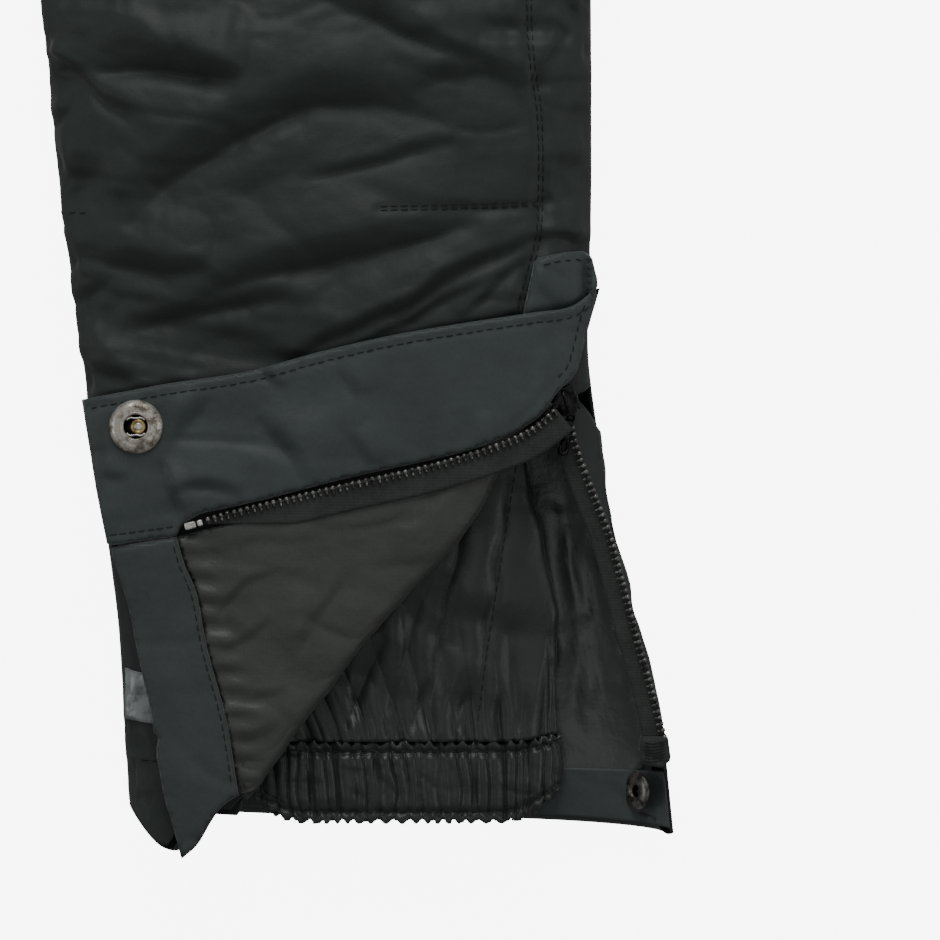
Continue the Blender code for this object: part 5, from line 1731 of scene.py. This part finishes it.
def back_hem_facing():
    """Shell cloth turned in along the hem of the left back, with its seam."""
    columns = spread(-1, 0.30, pi - 0.04, 120)[None, :]
    rows = np.linspace(0, 1, 20)[:, None]
    hem = HEM_INNER_Y + (HEM_OUTER_Y - HEM_INNER_Y) * columns / pi + 0.0012
    y = hem * (1 - rows) + (-0.3725 - 0.001 * columns) * rows
    inset = FACING[0] - 0.0044 * np.clip((columns - pi + 0.60) / 0.45, 0, 1)
    points = section(1, -1, columns * np.ones_like(y), y, inset)
    soft = crinkle_height(points[..., 0], points[..., 1], 171, 0.014, 0.0006)
    bank = np.clip((points[..., 0] - 0.2190) / 0.0025, 0, 1)
    points[..., 2] += (hem_bank(points[..., 0]) - points[..., 2]) * bank + 0.0004 + np.maximum(soft, -0.0003)
    obj = grid_piece("left_back_facing_cloth", points, FACING_CLOTH, FACING[1], True)
    place(obj, "pants", "shell_cloth", "left_back_hem_facing")
    tree = tree_of(obj)
    seam = [(p[0], p[1] - 0.0016) for p in points[-1]]
    stitching("left_back_facing_stitching", "pants", stitch_places(tree, seam))
    return tree


def left_stud(tree):
    """Snap stud through the back of the hem: a leaning eyelet with a pale ring, and a dark disc in its middle
    that is painted shade of the eyelet's hole.
    """
    x, y = STUD_PLACE
    point, _ = drop(tree, x, y)
    lean = radians(-52.0)
    spot = matrix_of(Vector((x, y, max(point.z, 0.0108))), (0, 1, 0), (sin(lean), 0.05, cos(lean)))
    washer = [(0.0018, 0.0004), (0.0020, 0.0009), (0.0026, 0.0011), (0.0040, 0.0009), (0.0052, 0.0006),
              (0.0056, 0.0002), (0.0056, -0.0003), (0.0018, -0.0003), (0.0018, 0.0004)]
    # Dark disc in the washer's middle: painted shade of the eyelet's hole.
    hole_shade = [(0.0, 0.0000), (0.0018, 0.0000), (0.0018, -0.0004), (0.0, -0.0004)]
    outside = Matrix.Translation((x + 0.0018, y, 0.0016)) @ UPSIDE_DOWN
    fitting("left_stud_washer", "pants", DULL_NICKEL, revolved(washer), [spot], "left_snap_stud")
    fitting("left_stud_hole_painted_shade", "pants", DARK_METAL, revolved(hole_shade, 32), [spot])
    fitting("left_stud_outer_cap", "pants", NICKEL, cap_template(0.0010, 0.0040), [outside])


reflector("left", 1, LEFT_FRONT)
reflector("right", -1, RIGHT_FRONT)
left_stud(back_hem_facing())


def hem_row(side, low, high):
    """Path of the stitches beside a hem, from one distance from the middle of the garment to another."""
    slope = (HEM_OUTER_Y - HEM_INNER_Y) / 0.164
    return [(side * x, HEM_INNER_Y + 0.0125 + slope * (x - 0.066)) for x in np.arange(low, high, 0.003)]


def front_seams(side, tree):
    """Stitches of one front: its side seam, knee darts and hem, and its half of the crotch."""
    ys = np.arange(-0.240 if side > 0 else -0.345, PANEL_TOP_Y - 0.004, 0.004)
    seam = np.column_stack((side * at(SIDE_SEAM, ys), ys))
    dart = np.array(((0.1410, DART_Y), (0.1650, DART_Y + 0.0006), (0.1888, DART_Y + 0.0018))) * (side, 1)
    paths = [offset_path(seam, offset) for offset in DOUBLE_ROW]
    paths += [offset_path(dart, offset) for offset in DART_ROWS]
    paths.append(((side * 0.0440, -0.2072), (side * 0.0540, -0.2078)))
    paths.append(hem_row(side, 0.069, 0.094 if side > 0 else 0.212))
    paths.append(((side * CROTCH_ROW, 0.200), (side * CROTCH_ROW, 0.156)))
    return [spot for path in paths for spot in stitch_places(tree, path)]


def back_seams(side, tree):
    """Stitches of one back: its side seam, yoke and hem, and its half of the seat seam."""
    ys = np.arange(-0.375, PANEL_TOP_Y - 0.004, 0.004)
    seam = np.column_stack((side * (at(OUTER, ys) - 0.016), ys))
    paths = [offset_path(seam, offset) for offset in DOUBLE_ROW]
    paths.append([(side * x, 0.300 + 0.10 * x) for x in np.arange(0.004, 0.160, 0.003)])
    paths.append(hem_row(side, 0.072, 0.215))
    paths.append(((side * CROTCH_ROW, 0.364), (side * CROTCH_ROW, 0.156)))
    return [spot for path in paths for spot in stitch_places(tree, path, -1)]


stitching("left_front_stitching", "pants", front_seams(1, LEFT_FRONT))
stitching("right_front_stitching", "pants", front_seams(-1, RIGHT_FRONT))
stitching("left_back_stitching", "pants", back_seams(1, LEFT_BACK))
stitching("right_back_stitching", "pants", back_seams(-1, RIGHT_BACK))

# ---------------------------------------------------------------- right leg's zip, flap and snap


def right_flap(up):
    """Closed storm flap over the right leg's zip, with its snap cap. up points out of the leg there."""
    pivot, axis = joint_line("right_flap_lift")
    low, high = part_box("right_storm_flap")
    across = towards(axis.cross(up).normalized(), (-1, 0, 0))
    normal = towards(across.cross(axis).normalized(), UP)
    matrix = axes_matrix(pivot, across, axis, normal)
    wide = 0.040
    long = (high.y - low.y) * 0.985
    top = long * 0.93
    outline = even_loop(((0, 0), (wide, 0), (wide, long * 0.80), (wide * 0.55, top), (0, top)))
    snap = (0.031, 0.011)

    def rest(x, y):
        soft = crinkle_height(x, y, 221, 0.018, 0.0006) + 0.0008 * np.sin(y * 70) * np.sin(x * 60)
        near = np.clip((np.hypot(x - snap[0], y - snap[1]) - 0.008) / 0.006, 0, 1)
        edge = np.minimum(np.abs(x - wide), np.abs(y))
        groove = 0.0004 * np.exp(-((edge - TOPSTITCH_INSET) / 0.0007) ** 2)
        return -0.0004 + soft * near - groove - 0.0022 * np.clip((x - 0.030) / 0.010, 0, 1) ** 2 * near

    obj = soft_patch("right_storm_flap_cloth", outline, rest, 0.0012, FLAP_CLOTH, 0.0015, 0.0011,
                     matrix=matrix)
    place(obj, "right_flap", "shell_cloth", "right_storm_flap")
    row = wide - TOPSTITCH_INSET
    seam = ((0.0, TOPSTITCH_INSET), (row, TOPSTITCH_INSET), (row, long * 0.78), (wide * 0.52, long * 0.90))
    seam = stitch_places(tree_of(obj), seen_from_above(matrix, seam))
    stitching("right_flap_stitching", "right_flap", seam)
    cap = matrix_of(matrix @ Vector((*snap, 0.0011)), axis, normal)
    fitting("right_snap_cap_dome", "right_flap", NICKEL, cap_template(), [cap], "right_snap_cap")


def right_stud(up):
    """Snap stud of the right leg, under its flap."""
    low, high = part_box("right_snap_stud")
    middle = (low + high) / 2
    tall = (high - low).z - 0.001
    profile = [(0.0, tall), (0.0018, tall), (0.0025, tall - 0.0005), (0.0027, tall - 0.0011),
               (0.0020, tall - 0.0018), (0.0023, 0.0010), (0.0050, 0.0008), (0.0058, 0.0004), (0.0058, 0.0),
               (0.0, 0.0)]
    spot = matrix_of(Vector((middle.x, middle.y, low.z + 0.0004)), (0, 1, 0), up)
    fitting("right_stud_turned", "pants", NICKEL, revolved(profile), [spot], "right_snap_stud")


right_up = closed_zip("right", RIGHT_ZIP_LENGTH, -1, welts=False)
right_flap(right_up)
right_stud(right_up)

# ---------------------------------------------------------------- hips and waist


def mirrored(grid, sign=1):
    """A grid whose first column lies on the middle of the garment, with its other half before it."""
    half = grid[:, :0:-1].copy()
    if sign < 0:
        half[..., 0] *= -1
    return np.concatenate((half, grid), axis=1)


def waist_band(name, side, face, inset, thickness, material, slot, node, gather, span=(0.0, pi), trim=0.0):
    """Part of the waistband, puffed between its seams and gathered where it is elastic. The back goes
    right across; its elastic is narrower by the trim at each edge."""
    low, high = BAND_LOW_Y + trim, BAND_TOP_Y - trim
    t, y = np.meshgrid(spread(face, *span, 200), np.linspace(low, high, 30))
    base = section(side, face, t, y, inset)
    if face < 0:
        base[:, 0, 0] = 0.0
        base, t, y = mirrored(base, -1), mirrored(t), mirrored(y)
    across = base[..., 0]
    share = (y - low) / (high - low)
    puff = 0.0007 * np.sin(pi * share)
    seam = 0.0006 * (np.exp(-((share - 0.10) / 0.03) ** 2) + np.exp(-((share - 0.90) / 0.03) ** 2))
    phase = across * 560 + 3.0 * lattice_noise(across, y, 0.02, 4)
    folds = gather * np.sin(phase) * np.sin(pi * share) ** 0.4
    soft = crinkle_height(across, y, 301, 0.014, 0.0003)
    height = (puff - seam + folds + soft) * np.clip(np.sin(t) * 3, 0.15, 1)
    flip = face * side < 0
    points = base + grid_normals(base) * (-1 if flip else 1) * height[..., None]
    if face < 0:
        points[..., 2] = np.maximum(points[..., 2], inset * 0.6)
    obj = grid_piece(name, points, material, thickness, flip)
    place(obj, "pants", slot, node)
    return tree_of(obj)


def round_end(half, centre):
    """Round end of a tab, as an arc from its right side to its left."""
    return [(half * cos(a), centre + half * sin(a)) for a in np.linspace(0, pi, 13)]


def soft_strip(name, body, matrix, width, length, low, thick, node, seed, rounded=False):
    """Small flat piece along its frame's Y, such as a loop or a tab."""
    half = width / 2
    far = round_end(half, length - half) if rounded else [(half, length), (-half, length)]
    outline = [*far, (-half, 0), (half, 0)] if rounded else [(half, 0), *far, (-half, 0)]

    def rest(x, y):
        return low + crinkle_height(x, y, seed, 0.008, 0.0002)

    obj = soft_patch(name, even_loop(outline, 0.0012), rest, thick, BAND_CLOTH, 0.0012, 0.0009, matrix=matrix)
    place(obj, body, "shell_cloth", node)
    return tree_of(obj)


def stitched_edge(name, body, tree, matrix, width, length, inset, face=1, rounded=False):
    """A row of stitches round a small tab, inset from its edge."""
    half = width / 2 - inset
    if rounded:
        path = [(half, 0.002), *round_end(half, length - width / 2), (-half, 0.002)]
    else:
        path = [(half, inset), (half, length - inset), (-half, length - inset), (-half, inset), (half, inset)]
    stitching(name, body, stitch_places(tree, seen_from_above(matrix, path), face))


def waist_bands():
    """The waistband's two fronts, its back and its elastic, with their stitches. Returns search trees."""
    fronts = [waist_band(f"waistband_front_{word}_cloth", side, 1, 0.0, 0.0030, BAND_CLOTH, "shell_cloth",
                         f"waistband_front_{word}", 0.0) for word, side in SIDES]
    back = waist_band("waistband_back_cloth", 1, -1, 0.0018, 0.0028, BAND_CLOTH, "shell_cloth",
                      "waistband_back", 0.0006)
    waist_band("waist_elastic_band", 1, -1, 0.0050, 0.0014, ELASTIC_CLOTH, "elastic", "waist_elastic", 0.0005,
               (0.0, pi - 0.35), 0.003)
    seams = []
    for v in (BAND_LOW_Y + 0.0033, BAND_TOP_Y - 0.0033):
        for (_, side), tree in zip(SIDES, fronts):
            seams += stitch_places(tree, ((side * 0.004, v), (side * 0.150, v)))
        seams += stitch_places(back, ((-0.145, v), (0.145, v)), -1)
    stitching("waistband_stitching", "pants", seams)
    return fronts, back


def belt_loop(name, x, face, tree):
    """Belt loop on the front or the back of the waistband."""
    wide, long = 0.008, 0.029
    point, _ = drop(tree, x, BAND_MIDDLE_Y, face)
    z = point.z + 0.0002 if face > 0 else 0.0012
    matrix = matrix_of(Vector((x, BAND_MIDDLE_Y - long / 2 * face, z)), (0, face, 0), (0, 0, face))
    strip = soft_strip(f"{name}_cloth", "pants", matrix, wide, long, 0.0, 0.0011, name, 17)
    stitched_edge(f"{name}_stitching", "pants", strip, matrix, wide, long, 0.0018, face)


def side_tab(word, side):
    """Hook-and-loop tab that takes the waist in, sewn on at its outer end."""
    wide, long = 0.020, 0.046
    name, body = f"{word}_waist_tab", f"{word}_waist_adjuster"
    pivot, axis = joint_line(f"{name}_lift")
    low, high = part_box(name)
    middle = (low + high) / 2
    way = Vector((middle.x - pivot.x, 0, middle.z - pivot.z)).normalized()
    matrix = matrix_of(pivot, way, towards(axis.cross(way).normalized(), UP))
    strip = soft_strip(f"{name}_cloth", body, matrix, wide, long, 0.0002, 0.0016, name, 31 + side, True)
    stitched_edge(f"{name}_stitching", body, strip, matrix, wide, long, 0.0026, rounded=True)


def closure_tab():
    """Tab with a snap over the middle of the waistband."""
    wide, long = 0.024, 0.052
    pivot, _ = joint_line("waist_closure_lift")
    matrix = matrix_of(pivot, (-1, 0, 0), UP)
    strip = soft_strip("waist_closure_tab_cloth", "waist_closure", matrix, wide, long, -0.0006, 0.0014,
                       "waist_closure_tab", 41, True)
    stitched_edge("waist_closure_stitching", "waist_closure", strip, matrix, wide, long, 0.0030, rounded=True)
    cap = matrix_of(matrix @ Vector((0, 0.040, 0.0010)), (0, 1, 0), UP)
    fitting("waist_snap_dome", "waist_closure", NICKEL, cap_template(), [cap], "waist_snap_cap")
    low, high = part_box("waist_snap_stud")
    middle = (low + high) / 2
    profile = [(0.0, 0.0020), (0.0016, 0.0020), (0.0022, 0.0016), (0.0023, 0.0012), (0.0016, 0.0008),
               (0.0050, 0.0006), (0.0060, 0.0003), (0.0060, 0.0), (0.0, 0.0)]
    fitting("waist_stud_turned", "pants", NICKEL, revolved(profile),
            [Matrix.Translation((middle.x, middle.y, low.z))], "waist_snap_stud")


front_bands, back_band = waist_bands()
for (side_word, side_sign), front_band in zip(SIDES, front_bands):
    belt_loop(f"belt_loop_front_{side_word}", side_sign * 0.070, 1, front_band)
    belt_loop(f"belt_loop_back_{side_word}", side_sign * 0.050, -1, back_band)
    side_tab(side_word, side_sign)
closure_tab()
closed_zip("fly", FLY_LENGTH)
closed_zip("left_pocket", POCKET_LENGTH)
closed_zip("right_pocket", POCKET_LENGTH)

# ---------------------------------------------------------------- camera, floor and light


def studio():
    """Camera straight above the left leg's end, pale floor, soft lamps and an even sky."""
    camera = bpy.data.cameras.new("camera")
    camera.lens = LENS
    camera.sensor_width = SENSOR
    viewer = bpy.data.objects.new("camera", camera)
    viewer.location = (*VIEW_CENTRE, VIEW_LEVEL + VIEW_WIDE / SENSOR * LENS)
    bpy.context.scene.collection.objects.link(viewer)
    bpy.context.scene.camera = viewer

    bpy.ops.mesh.primitive_plane_add(size=14.0, location=(0, 0, -0.0005))
    floor = bpy.context.object
    floor.name = "floor"
    paint = bpy.data.materials.new("floor")
    paint.use_nodes = True
    shader = paint.node_tree.nodes["Principled BSDF"]
    shader.inputs["Base Color"].default_value = (0.90, 0.90, 0.90, 1)
    shader.inputs["Roughness"].default_value = 0.9
    shader.inputs["Specular IOR Level"].default_value = 0.1
    shader.inputs["Emission Color"].default_value = (1, 1, 1, 1)
    shader.inputs["Emission Strength"].default_value = FLOOR_GLOW
    floor.data.materials.append(paint)
    floor.visible_diffuse = False
    floor.visible_glossy = False

    for name, location, size, power in LAMPS:
        lamp = bpy.data.lights.new(name, "AREA")
        lamp.shape = "DISK"
        lamp.size = size
        lamp.energy = power
        obj = bpy.data.objects.new(name, lamp)
        obj.location = location
        aim = LAMP_AIM - Vector(location)
        obj.rotation_mode = "QUATERNION"
        obj.rotation_quaternion = aim.to_track_quat("-Z", "Y")
        obj.visible_camera = False
        bpy.context.scene.collection.objects.link(obj)

    world = bpy.data.worlds.new("studio")
    world.use_nodes = True
    world.node_tree.nodes["Background"].inputs["Color"].default_value = (1, 1, 1, 1)
    world.node_tree.nodes["Background"].inputs["Strength"].default_value = SKY
    bpy.context.scene.world = world


# The camera: its focal length and sensor in millimetres, the width that it sees, and where.
LENS, SENSOR = 200.0, 36.0
VIEW_WIDE = 0.282
VIEW_CENTRE = (0.168, -0.2845)
VIEW_LEVEL = 0.020

FLOOR_GLOW = 7.4
SKY = 0.19
# Each lamp: name, place, size and power.
LAMPS = (
    ("key", (0.10, 1.35, 1.05), 1.2, 13.5),
    ("left", (-1.20, -0.30, 0.60), 0.7, 1.7),
    ("right", (1.50, -0.30, 0.60), 0.7, 1.7),
    ("top", (0.30, -0.30, 1.90), 1.2, 1.5),
)
LAMP_AIM = Vector((0.1, -0.2, 0.0))
studio()
